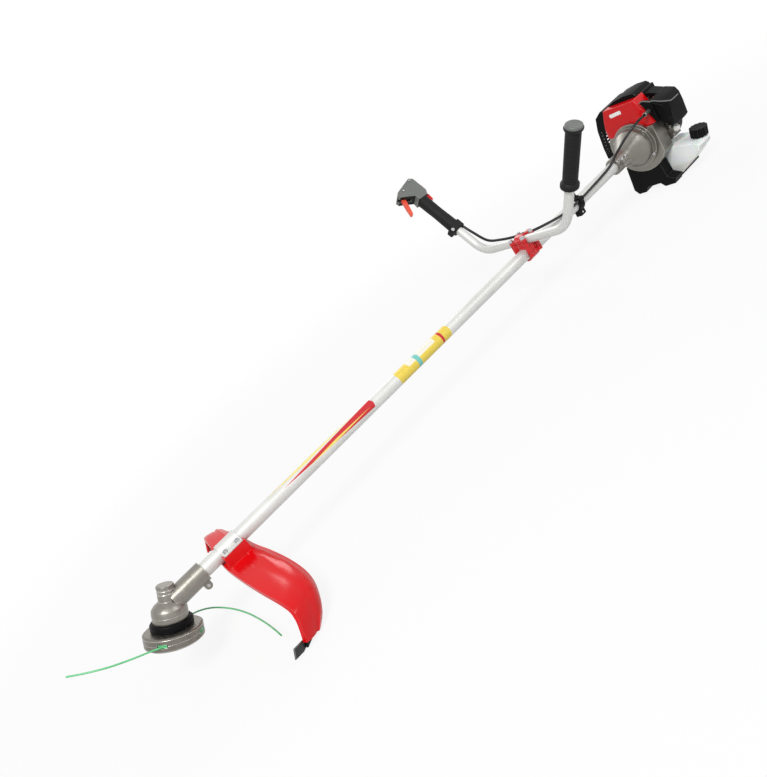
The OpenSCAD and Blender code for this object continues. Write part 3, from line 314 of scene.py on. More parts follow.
def turned(name, profile, place):
    """A round piece whose profile gives radius and height in mm, set in place and closed at its far end."""
    bpy.ops.object.select_all(action="DESELECT")
    bpy.ops.mesh.primitive_circle_add(vertices=SIDES, radius=profile[0][0]*MM, fill_type="NOTHING",
                                      location=(0, 0, 0))
    piece = bpy.context.view_layer.objects.active
    piece.name = name
    bpy.ops.object.mode_set(mode="EDIT")
    bpy.ops.mesh.select_all(action="SELECT")
    bpy.ops.transform.translate(value=(0, 0, profile[0][1]*MM))
    for (old, low), (new, high) in zip(profile, profile[1:]):
        bpy.ops.mesh.extrude_region_move(TRANSFORM_OT_translate={"value": (0, 0, (high - low)*MM)})
        bpy.ops.transform.resize(value=(new/old, new/old, 1), center_override=(0, 0, high*MM))
    bpy.ops.mesh.edge_face_add()
    bpy.ops.mesh.select_all(action="SELECT")
    bpy.ops.mesh.normals_make_consistent(inside=False)
    bpy.ops.object.mode_set(mode="OBJECT")
    piece.matrix_world = place
    bpy.ops.object.transform_apply(location=True, rotation=True, scale=True)
    bpy.ops.object.shade_smooth_by_angle(angle=ROUND_TURN)
    return piece


# The sleeve runs along the frame's own -Y, so the upright axis is turned over onto it
along_left_grip = left_grip_frame @ Matrix.Rotation(math.radians(90), 4, "X")
sleeve_profile = [(10.1, 0), (10.1, -4), (16, -4), (18.4, -1.6), (19, 0), (19, 7), (18.2, 8.6), (15.6, 11)]
RINGS, FIRST_RING, RING_STEP = 24, 12.5, 4.3
GROOVE, CREST = 14.6, 15.3
for k in range(RINGS):
    foot = FIRST_RING + RING_STEP*k
    sleeve_profile += [(GROOVE, foot), (CREST, foot + 0.7), (CREST, foot + 2.6), (GROOVE, foot + 3.3)]
sleeve_profile += [(15.6, 116), (18.2, 119), (18.9, 121), (18.9, 123.4), (17.6, 123.6), (17.6, 122.6)]
sleeve = turned("left_grip_sleeve", sleeve_profile, along_left_grip)
cap_profile = [(17.4, 122.8), (17.4, 126.6), (16.6, 128.6), (14.8, 129.9), (12.4, 130.5), (11.6, 130.2),
               (10.6, 129.6), (9.2, 129.4), (4, 129.6), (1, 129.7)]
grip_cap = turned("left_grip_end_cap", cap_profile, along_left_grip)
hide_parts("left_grip")
for piece, slot in ((sleeve, "rubber"), (grip_cap, "grip_plastic")):
    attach(piece, body_of["left_grip"])
print("sleeve of", len(sleeve.data.polygons), "faces with a cap of", len(grip_cap.data.polygons))

# %% [markdown]
# ## Throttle grip in two colours
# The two halves of the throttle grip are moulded in one piece each. The handle below is covered in black
# rubber and the head with the trigger is bare grey plastic. Its underside, where the trigger comes out, is
# painted black as shade. The rounded copies are cut along the border with a bisect, and the faces above it
# that don't look back along the handle are marked for the second colour; the faces that look back keep the
# black as painted shade.

# %% Border between the rubber handle and the plastic head
# The border lies this far along the grip, in mm. A face looks back when its normal, measured along the grip,
# is below the second value, and such a face on the head is painted black as shade
HEAD_START = 112
PAINTED_SHADE_LIMIT = -0.4
grip_back = right_grip_frame.inverted()
border = right_grip_frame @ Vector((0, HEAD_START*MM, 0))
border_way = right_grip_frame.to_3x3() @ Vector((0, 1, 0))
for node in ("throttle_shell", "throttle_lid"):
    piece = rounded[node]
    pick(piece)
    bpy.ops.object.mode_set(mode="EDIT")
    bpy.ops.mesh.select_all(action="SELECT")
    bpy.ops.mesh.bisect(plane_co=border, plane_no=border_way)
    bpy.ops.object.mode_set(mode="OBJECT")
    for face in piece.data.polygons:
        on_head = (grip_back @ face.center).y > HEAD_START*MM
        # A face on the head that looks back along the handle is painted black as shade
        in_painted_shade = face.normal.dot(border_way) < PAINTED_SHADE_LIMIT
        face.material_index = 1 if on_head and not in_painted_shade else 0
    bpy.ops.object.shade_smooth_by_angle(angle=SMOOTH_TURN)
print("throttle grip cut at", HEAD_START, "mm")

# %% [markdown]
# ## Painted highlight and patch on the engine
# The filter cover has a grey rod along its upper edge, a painted highlight line, and the red cover carries
# one plain white patch. The painted highlight is a round rod that follows the edge. The patch is a thin plate:
# the corners of a plane are rounded in the flat, and then the plane is given its thickness.

# %% Painted highlight rod on the filter cover
# Points of the grey rod, a painted highlight along the cover's upper edge, in mm
highlight_rod_route = [(13.2, -54, 90.2), (13.2, -60, 91.6), (13.2, -70, 88), (13.2, -79, 83.6), (17.2, -84, 81.6),
              (17.2, -94, 77), (17.6, -102, 73), (24.4, -111.4, 66.5), (34, -115, 61.5), (50, -115.2, 60.5),
              (66, -115.2, 60.5)]
HIGHLIGHT_ROD_RADIUS, HIGHLIGHT_ROD_STEPS = 0.0015, 6
path = smooth_through([engine_frame @ (Vector(p)*MM) for p in highlight_rod_route], HIGHLIGHT_ROD_STEPS)
highlight_rod = cord_curve("filter_highlight_rod", path, HIGHLIGHT_ROD_RADIUS)
pick(highlight_rod)
bpy.ops.object.convert(target="MESH")
bpy.ops.object.shade_smooth_by_angle(angle=ROUND_TURN)
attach(highlight_rod, "frame")
print("bead of", len(highlight_rod.data.polygons), "faces")

# %% Blank patch on the red cover
PATCH_SIZE = (0.009, 0.034, 0)
PATCH_CORNER, PATCH_THICKNESS = 0.002, 0.0003
patch_place = engine_frame @ (Vector((6, 15, 91))*MM)
bpy.ops.object.select_all(action="DESELECT")
bpy.ops.mesh.primitive_plane_add(size=1, location=(0, 0, 0), rotation=(0, math.radians(-90), 0))
patch = bpy.context.view_layer.objects.active
patch.name = "blank_patch"
patch.dimensions = PATCH_SIZE
bpy.ops.object.transform_apply(location=True, rotation=True, scale=True)
bpy.ops.object.mode_set(mode="EDIT")
bpy.ops.mesh.select_all(action="SELECT")
bpy.ops.mesh.bevel(offset=PATCH_CORNER, segments=5, affect="VERTICES")
bpy.ops.mesh.select_all(action="SELECT")
bpy.ops.mesh.extrude_region_move(TRANSFORM_OT_translate={"value": (-PATCH_THICKNESS, 0, 0)})
bpy.ops.mesh.select_all(action="SELECT")
bpy.ops.mesh.normals_make_consistent(inside=False)
bpy.ops.object.mode_set(mode="OBJECT")
patch.location = patch_place
bpy.ops.object.transform_apply(location=True, rotation=True, scale=True)
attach(patch, "frame")
print("patch of", [round(x/MM, 1) for x in patch.dimensions], "mm")

# %% [markdown]
# ## Finishes
# Every finish is built from nodes on Object coordinates, so a pattern keeps its place on the machine. One
# function turns a colour written as sRGB hex into the linear values a shader takes, and one adds a node with
# its settings and links.

# %% Colour and node helpers
def linear(colour):
    """The linear colour of an sRGB hex value."""
    parts = [int(colour[i:i + 2], 16)/255 for i in (1, 3, 5)]
    return [c/12.92 if c <= 0.04045 else ((c + 0.055)/1.055)**2.4 for c in parts] + [1]


def add(tree, kind, inputs=None, **settings):
    """Adds a node, with its settings, and with a value or another node's output in each named input."""
    node = tree.nodes.new(kind)
    for name, value in settings.items():
        setattr(node, name, value)
    for name, value in (inputs or {}).items():
        if isinstance(value, bpy.types.NodeSocket):
            tree.links.new(value, node.inputs[name])
        else:
            node.inputs[name].default_value = value
    return node


def bare_tree(name):
    """A new material and its empty node tree."""
    material = bpy.data.materials.new(name)
    material.use_nodes = True
    material.node_tree.nodes.clear()
    return material, material.node_tree


print("linear mid grey is", round(linear("#808080")[0], 3))

# %% [markdown]
# ### Plastics, rubber and castings
# A moulded or cast surface is never one flat colour. Slow blotches shift its tone and its gloss, a fine grain
# from the tool breaks up its highlights, and scuffs or grime lie on it here and there. The black covers are
# ABS from a spark-eroded tool, so they are matt and grained. The red ABS comes from a polished tool and is
# glossy with a faint ripple. The castings are aluminium, blasted after casting. The grain of these tools is
# about 0.1 mm, too fine to show, so it is drawn at about 1 mm.

# %% A moulded or cast surface
# Most of a noise lies between LOW and HIGH. Scuffs begin where the specks pass SCUFF_START.
LOW, HIGH = 0.3, 0.7
SCUFF_START, SCUFF_FULL = 0.60, 0.72
SPECK_MM = 7


def surface(name, colours, scuff, blotch_mm, grain_mm, depth_mm, roughness, **shader):
    """A finish with slow changes of tone and gloss, a fine grain and sparse scuffs, with its sizes in mm."""
    material, tree = bare_tree(name)
    spot = add(tree, "ShaderNodeTexCoord").outputs["Object"]
    blotch = add(tree, "ShaderNodeTexNoise", {"Vector": spot, "Scale": 1/(blotch_mm*MM), "Detail": 4})
    grain = add(tree, "ShaderNodeTexNoise", {"Vector": spot, "Scale": 1/(grain_mm*MM), "Detail": 3})
    speck = add(tree, "ShaderNodeTexNoise", {"Vector": spot, "Scale": 1/(SPECK_MM*MM), "Detail": 6,
                                             "Roughness": 0.7})
    # A colour Mix node keeps its two colours at inputs 6 and 7, and its result at output 2
    tone = add(tree, "ShaderNodeMix", {0: blotch.outputs["Fac"], 6: linear(colours[0]),
                                       7: linear(colours[1])}, data_type="RGBA")
    worn = add(tree, "ShaderNodeMapRange", {"Value": speck.outputs["Fac"], "From Min": SCUFF_START,
                                            "From Max": SCUFF_FULL, "To Min": 0, "To Max": scuff[1]})
    tone = add(tree, "ShaderNodeMix", {0: worn.outputs["Result"], 6: tone.outputs[2], 7: linear(scuff[0])},
               data_type="RGBA")
    gloss = add(tree, "ShaderNodeMapRange", {"Value": blotch.outputs["Fac"], "From Min": LOW,
                                             "From Max": HIGH, "To Min": roughness[0],
                                             "To Max": roughness[1]})
    bump = add(tree, "ShaderNodeBump", {"Height": grain.outputs["Fac"], "Distance": depth_mm*MM,
                                        "Strength": 0.6})
    bsdf = add(tree, "ShaderNodeBsdfPrincipled", {"Base Color": tone.outputs[2],
                                                  "Roughness": gloss.outputs["Result"],
                                                  "Normal": bump.outputs["Normal"]})
    for socket, value in shader.items():
        bsdf.inputs[socket.replace("_", " ")].default_value = value
    add(tree, "ShaderNodeOutputMaterial", {"Surface": bsdf.outputs["BSDF"]})
    return material


print("specks of", SPECK_MM, "mm")

# %% Moulded and cast finishes
# Each row gives a name, two tones, the scuffs' colour and strength, the sizes of blotch and grain and the
# grain's depth in mm, and the lowest and highest roughness
finishes = {
    # Black ABS: deep and matt, with a grey bloom where hands and boots rub it
    "black_abs": surface("black_abs_grained", ("#070707", "#0d0d0e"), ("#202021", 0.25), 60, 1.1, 0.10,
                         (0.42, 0.56), Specular_IOR_Level=0.08),
    # Its edges: lighter and glossier, partly a painted highlight and partly rubbing
    "black_abs_edge": surface("black_abs_rubbed_and_highlit_edge", ("#151516", "#1e1e1f"), ("#303031", 0.4), 25, 1.1,
                              0.05, (0.30, 0.40), Specular_IOR_Level=0.35),
    # Red ABS: saturated and glossy, with long soft highlights
    "red_abs": surface("red_abs_polished", ("#c4050b", "#d00910"), ("#d2292d", 0.12), 120, 14, 0.05,
                       (0.14, 0.22), Specular_IOR_Level=0.28),
    # Its edges: lighter, partly a painted highlight and partly rubbing
    "red_abs_edge": surface("red_abs_rubbed_and_highlit_edge", ("#c4161b", "#d22a2e"), ("#e05a58", 0.35), 30, 3, 0.03,
                            (0.18, 0.28), IOR=1.52),
    # Orange-red ABS of the trigger and the switch: a softer, chalkier red
    "orange_abs": surface("orange_red_abs", ("#d8452a", "#e25438"), ("#ec7d66", 0.2), 30, 1.5, 0.03,
                          (0.28, 0.36), IOR=1.52),
    # Glass-filled nylon of the throttle head and the grip cap: mid grey, dry, with faint flow marks
    "grey_nylon": surface("grey_filled_nylon", ("#595c59", "#686b67"), ("#838681", 0.25), 45, 1.2, 0.08,
                          (0.42, 0.54), IOR=1.53),
    # Blasted aluminium of the clutch bell and the crankcase: mid grey, even, soft in its shine
    "cast_alloy": surface("blasted_cast_aluminium", ("#77746e", "#8c8982"), ("#5a5650", 0.55), 22, 1.4, 0.16,
                          (0.32, 0.44), Metallic=0.8),
    # Its edges: much lighter, partly a painted highlight and partly rubbing
    "cast_alloy_edge": surface("rubbed_and_highlit_cast_aluminium_edge", ("#b9b7b1", "#c8c6c0"), ("#a5a39c", 0.3), 12,
                               1.2, 0.05, (0.26, 0.36), Metallic=0.9),
    # Casting of the gear case: brown-grey and a little shinier, with grime in its pores
    "gear_alloy": surface("grimy_cast_aluminium", ("#7e7a72", "#95918a"), ("#524e47", 0.5), 18, 1.3, 0.16,
                          (0.28, 0.40), Metallic=0.8),
    # Machined steel of the screws and the spindle: bright, with fine tool marks
    "steel": surface("machined_steel", ("#b4b6b8", "#c6c8ca"), ("#8e9092", 0.3), 12, 1.0, 0.02, (0.24, 0.34),
                     Metallic=1.0),
    # Oxide-blacked steel of the line knife: near black with a dull metal sheen
    "blade": surface("black_oxide_steel", ("#131314", "#1d1d1e"), ("#4c4c4d", 0.4), 30, 1.2, 0.03,
                     (0.30, 0.42), Metallic=0.6),
    # Rubber: black, dusty and dry, with hardly any highlight
    "rubber": surface("black_rubber", ("#0b0b0b", "#131313"), ("#282827", 0.3), 35, 1.3, 0.10, (0.58, 0.72),
                      Specular_IOR_Level=0.24),
    # PVC sheath of the cable: black and half gloss
    "sheath": surface("black_pvc_sheath", ("#0a0a0b", "#111112"), ("#262627", 0.3), 30, 2.0, 0.03,
                      (0.28, 0.38), Specular_IOR_Level=0.3),
    # Nylon line: green all through, so it glows a little, with a dull extruded skin
    "nylon": surface("green_nylon_line", ("#4cae6b", "#62bf82"), ("#94d6a9", 0.3), 20, 2.0, 0.02,
                     (0.26, 0.36), IOR=1.53, Subsurface_Weight=0.2, Subsurface_Scale=0.004),
    # Glazed ceramic of the spark plug: off-white and very smooth
    "ceramic": surface("glazed_ceramic", ("#ebe9e3", "#f2f0ea"), ("#d8d4c8", 0.2), 20, 3.0, 0.01,
                       (0.12, 0.18), IOR=1.54),
    # The blank patch: clean white, faintly warm
    "patch": surface("plain_white_patch_finish", ("#e9e8e4", "#f1f0ec"), ("#d9d7d0", 0.3), 12, 1.0, 0.01,
                     (0.30, 0.40), IOR=1.50),
    # Clear primer bulb: cloudy silicone rubber
    "silicone": surface("cloudy_silicone", ("#d5d6d2", "#e2e3df"), ("#b9bab5", 0.3), 12, 2.0, 0.02,
                        (0.16, 0.26), IOR=1.41, Subsurface_Weight=0.3, Subsurface_Scale=0.006),
}
print(len(finishes), "moulded and cast finishes")

# %% [markdown]
# ### Red powder coat
# The three castings of the handlebar clamp are powder coated: a red skin with a slight orange peel. On their
# edges the coat is chipped and the bare aluminium shows through. Both finishes come from the same nodes, and
# the edge only lets more chips through.

# %% Powder-coated clamp
PEEL_MM, CHIP_MM = 1.8, 3.5
CHIP_RIM = 0.02
# The coat is gone where the noise passes this value
coats = {"red_powder_coat": 0.70, "red_powder_coat_chipped_edge": 0.61}
for name, chips in coats.items():
    material, tree = bare_tree(name)
    spot = add(tree, "ShaderNodeTexCoord").outputs["Object"]
    peel = add(tree, "ShaderNodeTexVoronoi", {"Vector": spot, "Scale": 1/(PEEL_MM*MM)}, feature="SMOOTH_F1")
    chip = add(tree, "ShaderNodeTexNoise", {"Vector": spot, "Scale": 1/(CHIP_MM*MM), "Detail": 5,
                                            "Roughness": 0.6})
    bare = add(tree, "ShaderNodeMapRange", {"Value": chip.outputs["Fac"], "From Min": chips,
                                            "From Max": chips + CHIP_RIM})
    tone = add(tree, "ShaderNodeMix", {0: bare.outputs["Result"], 6: linear("#c00d15"), 7: linear("#c9c7c2")},
               data_type="RGBA")
    dull = add(tree, "ShaderNodeMapRange", {"Value": bare.outputs["Result"], "To Min": 0.30, "To Max": 0.42})
    bump = add(tree, "ShaderNodeBump", {"Height": peel.outputs["Distance"], "Distance": 0.05*MM,
                                        "Strength": 0.5})
    bsdf = add(tree, "ShaderNodeBsdfPrincipled", {"Base Color": tone.outputs[2],
                                                  "Metallic": bare.outputs["Result"],
                                                  "Roughness": dull.outputs["Result"],
                                                  "Normal": bump.outputs["Normal"]})
    add(tree, "ShaderNodeOutputMaterial", {"Surface": bsdf.outputs["BSDF"]})
    finishes[name] = material
print(len(coats), "powder coats on the clamp")

# %% [markdown]
# ### Turned line head
# The two discs of the line head are turned on a lathe, which leaves fine rings about the spindle. A Mapping
# node turns the coordinates into the spindle's leaning frame, and the rings are a sine of the distance from
# that axis. Real tool marks are 0.2 mm apart. They are drawn 1.4 mm apart, so that they show.

# %% Turned aluminium
TOOL_STEP_MM, GRIME_MM = 1.4, 14
turned_alloy, tree = bare_tree("turned_aluminium")
spot = add(tree, "ShaderNodeTexCoord").outputs["Object"]
level = add(tree, "ShaderNodeMapping", {"Vector": spot, "Location": SHAFT_END,
                                        "Rotation": (0, SPINDLE_LEAN, 0)}, vector_type="TEXTURE")
flat = add(tree, "ShaderNodeVectorMath", {0: level.outputs["Vector"], 1: (1, 1, 0)}, operation="MULTIPLY")
radius = add(tree, "ShaderNodeVectorMath", {0: flat.outputs["Vector"]}, operation="LENGTH")
phase = add(tree, "ShaderNodeMath", {0: radius.outputs["Value"], 1: 2*math.pi/(TOOL_STEP_MM*MM)},
            operation="MULTIPLY")
rings = add(tree, "ShaderNodeMath", {0: phase.outputs[0]}, operation="SINE")
grime = add(tree, "ShaderNodeTexNoise", {"Vector": spot, "Scale": 1/(GRIME_MM*MM), "Detail": 5,
                                         "Roughness": 0.65})
tone = add(tree, "ShaderNodeMix", {0: grime.outputs["Fac"], 6: linear("#5f5a53"), 7: linear("#8e8a82")},
           data_type="RGBA")
gloss = add(tree, "ShaderNodeMapRange", {"Value": grime.outputs["Fac"], "From Min": LOW, "From Max": HIGH,
                                         "To Min": 0.44, "To Max": 0.28})
bump = add(tree, "ShaderNodeBump", {"Height": rings.outputs[0], "Distance": 0.04*MM, "Strength": 0.7})
bsdf = add(tree, "ShaderNodeBsdfPrincipled", {"Base Color": tone.outputs[2],
                                              "Roughness": gloss.outputs["Result"],
                                              "Normal": bump.outputs["Normal"], "Metallic": 0.9})
add(tree, "ShaderNodeOutputMaterial", {"Surface": bsdf.outputs["BSDF"]})
finishes["turned_alloy"] = turned_alloy
print("turned rings", TOOL_STEP_MM, "mm apart on the head")

# %% [markdown]
# ### Silver lacquer with printed flashes
# The main tube and the handlebar are drawn aluminium under a silver lacquer: a satin metal, a little cooler
# than the castings. On the tube, plain pointed flashes of yellow and red run along its length, and further up
# lies a yellow label with two plain stripes and a pale field on its upper left, which is a painted highlight.
# The flashes and the label are printed film, so they are not metallic, and the painted highlight is drawn as
# one more band, not metallic either. Each is a band round the tube whose half angle grows from its start to
# its full width and shrinks again to its end.

# %% Lacquered tubes
HAZE_MM = 40
lacquer, tree = bare_tree("silver_lacquered_aluminium")
spot = add(tree, "ShaderNodeTexCoord").outputs["Object"]
haze = add(tree, "ShaderNodeTexNoise", {"Vector": spot, "Scale": 1/(HAZE_MM*MM), "Detail": 5})
axes = add(tree, "ShaderNodeSeparateXYZ", {"Vector": spot})
silver = add(tree, "ShaderNodeMix", {0: haze.outputs["Fac"], 6: linear("#c3c3c0"), 7: linear("#d6d6d3")},
             data_type="RGBA")
print("silver lacquer with a haze of", HAZE_MM, "mm")

# %% Printed bands and a painted highlight on the tube
# The angle round the tube is counted from its left side over its top
up_side = add(tree, "ShaderNodeMath", {0: axes.outputs["Z"], 1: SHAFT_END.z}, operation="SUBTRACT")
left_side = add(tree, "ShaderNodeMath", {0: axes.outputs["Y"], 1: -1.0}, operation="MULTIPLY")
round_angle = add(tree, "ShaderNodeMath", {0: up_side.outputs[0], 1: left_side.outputs[0]},
                  operation="ARCTAN2")
colour, print_and_highlight = silver.outputs[2], None
# Colour, middle angle and half angle in degrees, then where along the tube, in mm, the band starts, is at its
# full width, begins to narrow and ends
bands_and_highlight = [
    ("#e0cf7c", 78, 18, 236, 330, 340, 470),
    ("#b81a24", 34, 42, 270, 505, 509, 512),
    ("#dcc862", 20, 9, 330, 400, 410, 500),
    ("#d8c04a", 42, 100, 584, 586, 744, 746),
    # A pale field on the upper left of the label: a painted highlight, not print
    ("#dedbcf", 64, 34, 618, 620, 700, 702),
    ("#6fb7ae", 42, 100, 640, 641, 650, 651),
    ("#b81a24", 42, 100, 716, 717, 722, 723),
]
for band_colour, middle, half, start, full, narrow, end in bands_and_highlight:
    rise = add(tree, "ShaderNodeMapRange", {"Value": axes.outputs["X"], "From Min": SHAFT_END.x + start*MM,
                                            "From Max": SHAFT_END.x + full*MM, "To Min": 0,
                                            "To Max": math.radians(half)})
    fall = add(tree, "ShaderNodeMapRange", {"Value": axes.outputs["X"], "From Min": SHAFT_END.x + narrow*MM,
                                            "From Max": SHAFT_END.x + end*MM, "To Min": math.radians(half),
                                            "To Max": 0})
    room = add(tree, "ShaderNodeMath", {0: rise.outputs["Result"], 1: fall.outputs["Result"]},
               operation="MINIMUM")
    away = add(tree, "ShaderNodeMath", {0: round_angle.outputs[0], 1: math.radians(middle)},
               operation="SUBTRACT")
    away = add(tree, "ShaderNodeMath", {0: away.outputs[0]}, operation="ABSOLUTE")
    inside = add(tree, "ShaderNodeMath", {0: away.outputs[0], 1: room.outputs[0]}, operation="LESS_THAN")
    colour = add(tree, "ShaderNodeMix", {0: inside.outputs[0], 6: colour, 7: linear(band_colour)},
                 data_type="RGBA").outputs[2]
    if print_and_highlight is None:
        print_and_highlight = inside.outputs[0]
    else:
        print_and_highlight = add(tree, "ShaderNodeMath", {0: print_and_highlight, 1: inside.outputs[0]},
                      operation="MAXIMUM").outputs[0]
# The print and the painted highlight are not metallic
metal = add(tree, "ShaderNodeMapRange", {"Value": print_and_highlight, "To Min": 0.35, "To Max": 0})
gloss = add(tree, "ShaderNodeMapRange", {"Value": haze.outputs["Fac"], "From Min": LOW, "From Max": HIGH,
                                         "To Min": 0.42, "To Max": 0.52})
bsdf = add(tree, "ShaderNodeBsdfPrincipled", {"Base Color": colour, "Metallic": metal.outputs["Result"],
                                              "Roughness": gloss.outputs["Result"]})
add(tree, "ShaderNodeOutputMaterial", {"Surface": bsdf.outputs["BSDF"]})
finishes["lacquer"] = lacquer
print(len(bands_and_highlight), "printed bands on the tube")

# %% [markdown]
# ### Milky tank
# The fuel tank is blow-moulded polyethylene: milky, soft in its gloss and a little see-through. Its lower part
# is drawn warmer and darker. The two halves of the mould leave a raised seam round the tank.

# %% Milky polyethylene
CLOUD_MM, RIPPLE_MM = 45, 9
# Heights in m where the tank starts to turn darker and warmer, and where it is fully so
DARKENING_TOP, DARKENING_FULL = 0.034, 0.026
SEAM_PLACE = ENGINE_FACE.x + 0.072
SEAM_CREST_MM, SEAM_FOOT_MM = 0.6, 1.4
milky, tree = bare_tree("milky_polyethylene")
spot = add(tree, "ShaderNodeTexCoord").outputs["Object"]
axes = add(tree, "ShaderNodeSeparateXYZ", {"Vector": spot})
cloud = add(tree, "ShaderNodeTexNoise", {"Vector": spot, "Scale": 1/(CLOUD_MM*MM), "Detail": 4})
skin = add(tree, "ShaderNodeMix", {0: cloud.outputs["Fac"], 6: linear("#e9e9e7"), 7: linear("#f5f5f4")},
           data_type="RGBA")
# The tank turns darker and warmer towards the bottom
lower_darkening = add(tree, "ShaderNodeMapRange", {"Value": axes.outputs["Z"], "From Min": DARKENING_TOP,
                                        "From Max": DARKENING_FULL, "To Min": 0, "To Max": 0.35})
tone = add(tree, "ShaderNodeMix", {0: lower_darkening.outputs["Result"], 6: skin.outputs[2], 7: linear("#b9b3a4")},
           data_type="RGBA")
from_seam = add(tree, "ShaderNodeMath", {0: axes.outputs["X"], 1: SEAM_PLACE}, operation="SUBTRACT")
from_seam = add(tree, "ShaderNodeMath", {0: from_seam.outputs[0]}, operation="ABSOLUTE")
seam = add(tree, "ShaderNodeMapRange", {"Value": from_seam.outputs[0], "From Min": SEAM_CREST_MM*MM,
                                        "From Max": SEAM_FOOT_MM*MM, "To Min": 1, "To Max": 0})
ripple = add(tree, "ShaderNodeTexNoise", {"Vector": spot, "Scale": 1/(RIPPLE_MM*MM), "Detail": 2})
height = add(tree, "ShaderNodeMath", {0: seam.outputs["Result"], 1: 0.25, 2: ripple.outputs["Fac"]},
             operation="MULTIPLY_ADD")
bump = add(tree, "ShaderNodeBump", {"Height": height.outputs[0], "Distance": 0.35*MM, "Strength": 0.5})
bsdf = add(tree, "ShaderNodeBsdfPrincipled", {"Base Color": tone.outputs[2], "Normal": bump.outputs["Normal"],
                                              "Roughness": 0.36, "IOR": 1.51, "Subsurface Weight": 0.25,
                                              "Subsurface Scale": 0.008})
add(tree, "ShaderNodeOutputMaterial", {"Surface": bsdf.outputs["BSDF"]})
finishes["milky_pe"] = milky
print("tank with a seam and fuel")

# %% [markdown]
# ## Dressing the pieces
# Each slot of the record names a material, and each gets its finish and the finish of its edges, which is
# lighter as painted highlight and as rubbing. A few pieces differ from the rest of their slot: the grimy gear
# case and the clear primer bulb.

# %% Dressing
finish_of_slot = {
    "cast_aluminium": ("cast_alloy", "cast_alloy_edge"), "head_alloy": ("turned_alloy", "cast_alloy_edge"),
    "steel": ("steel", "steel"), "silver_tube": ("lacquer", "lacquer"),
    "black_plastic": ("black_abs", "black_abs_edge"), "blade_steel": ("blade", "steel"),
    "rubber": ("rubber", "rubber"), "nylon_line": ("nylon", "nylon"),
    "red_plastic": ("red_abs", "red_abs_edge"), "grip_plastic": ("rubber", "grey_nylon"),
    "red_paint": ("red_powder_coat", "red_powder_coat_chipped_edge"),
    "orange_plastic": ("orange_abs", "orange_abs"), "milky_plastic": ("milky_pe", "milky_pe"),
    "ceramic": ("ceramic", "ceramic"),
}


def dress(piece, *names):
    """Gives a piece its finish, and the finish of its edges where it has one."""
    while len(piece.data.materials) < len(names):
        piece.data.materials.append(None)
    for i, name in enumerate(names):
        piece.data.materials[i] = finishes[name]


for node, piece in shown.items():
    names = finish_of_slot[slot_of[node]]
    dress(piece, *(names if node in rounded else names[:1]))
for node in ("gear_case", "gear_cover"):
    dress(shown[node], "gear_alloy", "cast_alloy_edge")
dress(shown["primer_bulb"], "silicone", "silicone")
for piece in nylon_pieces:
    dress(piece, "nylon")
for piece in sheaths.values():
    dress(piece, "sheath")
# The rod on the filter cover is grey as a painted highlight
for piece, name in ((sleeve, "rubber"), (grip_cap, "grey_nylon"), (highlight_rod, "grey_nylon"), (patch, "patch")):
    dress(piece, name)
print(len(finishes), "finishes on", len(shown), "pieces")

# %% [markdown]
# ## Floor and light
# The machine stands on a plain white sweep. The floor takes a soft shadow, and for the eye most of its colour
# is plain white, all of it far away, so the picture's ground is as bright as a studio sweep without more
# light on the machine. The same white shows in its metal and its clear pieces. One lamp stands over the
# camera's left shoulder, a weaker one fills the near side and a third draws the far edges.

# %% Floor
def seen_white(tree):
    """1 for what the eye sees, also in a mirror or through a clear piece, and 0 for gathered light."""
    ray = add(tree, "ShaderNodeLightPath")
    seen = add(tree, "ShaderNodeMath", {0: ray.outputs["Is Camera Ray"], 1: ray.outputs["Is Glossy Ray"]},
               operation="MAXIMUM")
    return add(tree, "ShaderNodeMath", {0: seen.outputs[0], 1: ray.outputs["Is Transmission Ray"]},
               operation="MAXIMUM").outputs[0]


FLOOR_SIZE = 30
# Just under the feet, so that the two never share a plane
FLOOR_PLACE = (-0.8, 0, -0.0006)
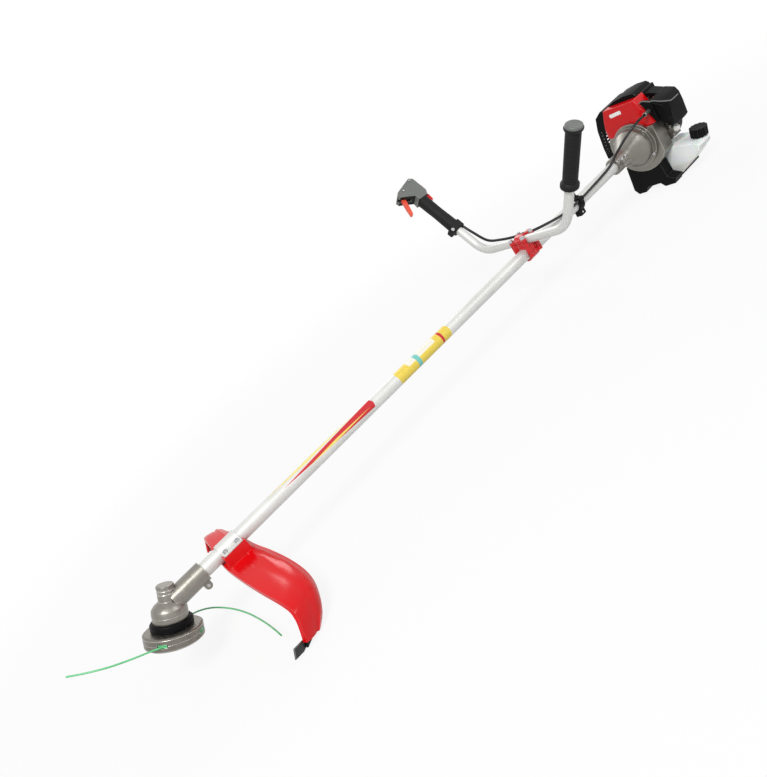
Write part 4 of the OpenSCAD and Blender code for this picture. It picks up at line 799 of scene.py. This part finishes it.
# The share of plain white near the machine, and how far from it, in m, that share starts to grow and is full
NEAR_WHITE, WHITE_START, WHITE_FULL = 0.88, 0.9, 1.9
bpy.ops.object.select_all(action="DESELECT")
bpy.ops.mesh.primitive_plane_add(size=FLOOR_SIZE, location=FLOOR_PLACE)
floor = bpy.context.view_layer.objects.active
floor.name = "floor"
paper, tree = bare_tree("white_paper_sweep")
spot = add(tree, "ShaderNodeTexCoord").outputs["Object"]
far = add(tree, "ShaderNodeVectorMath", {0: spot}, operation="LENGTH")
whiter = add(tree, "ShaderNodeMapRange", {"Value": far.outputs["Value"], "From Min": WHITE_START,
                                          "From Max": WHITE_FULL, "To Min": NEAR_WHITE, "To Max": 1.0})
share = add(tree, "ShaderNodeMath", {0: seen_white(tree), 1: whiter.outputs["Result"]}, operation="MULTIPLY")
matt = add(tree, "ShaderNodeBsdfDiffuse", {"Color": linear("#d4d4d4")})
glow = add(tree, "ShaderNodeEmission", {"Color": (1, 1, 1, 1), "Strength": 1.0})
mixed = add(tree, "ShaderNodeMixShader", {0: share.outputs[0], 1: matt.outputs[0], 2: glow.outputs[0]})
add(tree, "ShaderNodeOutputMaterial", {"Surface": mixed.outputs[0]})
# The glow is only for the eye, so no light is gathered from it: that keeps the picture free of grain
paper.cycles.emission_sampling = "NONE"
floor.data.materials.append(paper)
print("floor at", round(floor.location.z, 4), "m")

# %% Lamps
# Where each lamp stands, what it looks at, its width in m and its power in W
lamps = {
    "key": ((-2.2, -1.6, 2.2), (-0.8, 0, 0.15), 1.0, 66),
    "fill": ((0.9, -1.6, 1.4), (-0.5, 0, 0.2), 1.2, 16),
    "rim": ((0.2, 2.2, 1.8), (-0.7, 0, 0.2), 1.4, 20),
}
for name, (place, target, size, power) in lamps.items():
    data = bpy.data.lights.new(name + "_lamp", "AREA")
    data.shape = "DISK"
    data.size = size
    data.energy = power
    lamp = bpy.data.objects.new(name + "_lamp", data)
    scene.collection.objects.link(lamp)
    lamp.location = place
    lamp.rotation_euler = (Vector(target) - Vector(place)).to_track_quat("-Z", "Y").to_euler()
print(len(lamps), "lamps")

# %% World
ROOM_LIGHT = 0.42
world = bpy.data.worlds.new("white_room")
scene.world = world
world.use_nodes = True
tree = world.node_tree
tree.nodes.clear()
strength = add(tree, "ShaderNodeMapRange", {"Value": seen_white(tree), "To Min": ROOM_LIGHT, "To Max": 1.0})
air = add(tree, "ShaderNodeBackground", {"Color": (1, 1, 1, 1), "Strength": strength.outputs["Result"]})
add(tree, "ShaderNodeOutputWorld", {"Surface": air.outputs[0]})
scene.view_settings.view_transform = "Standard"
print("room light of", ROOM_LIGHT)
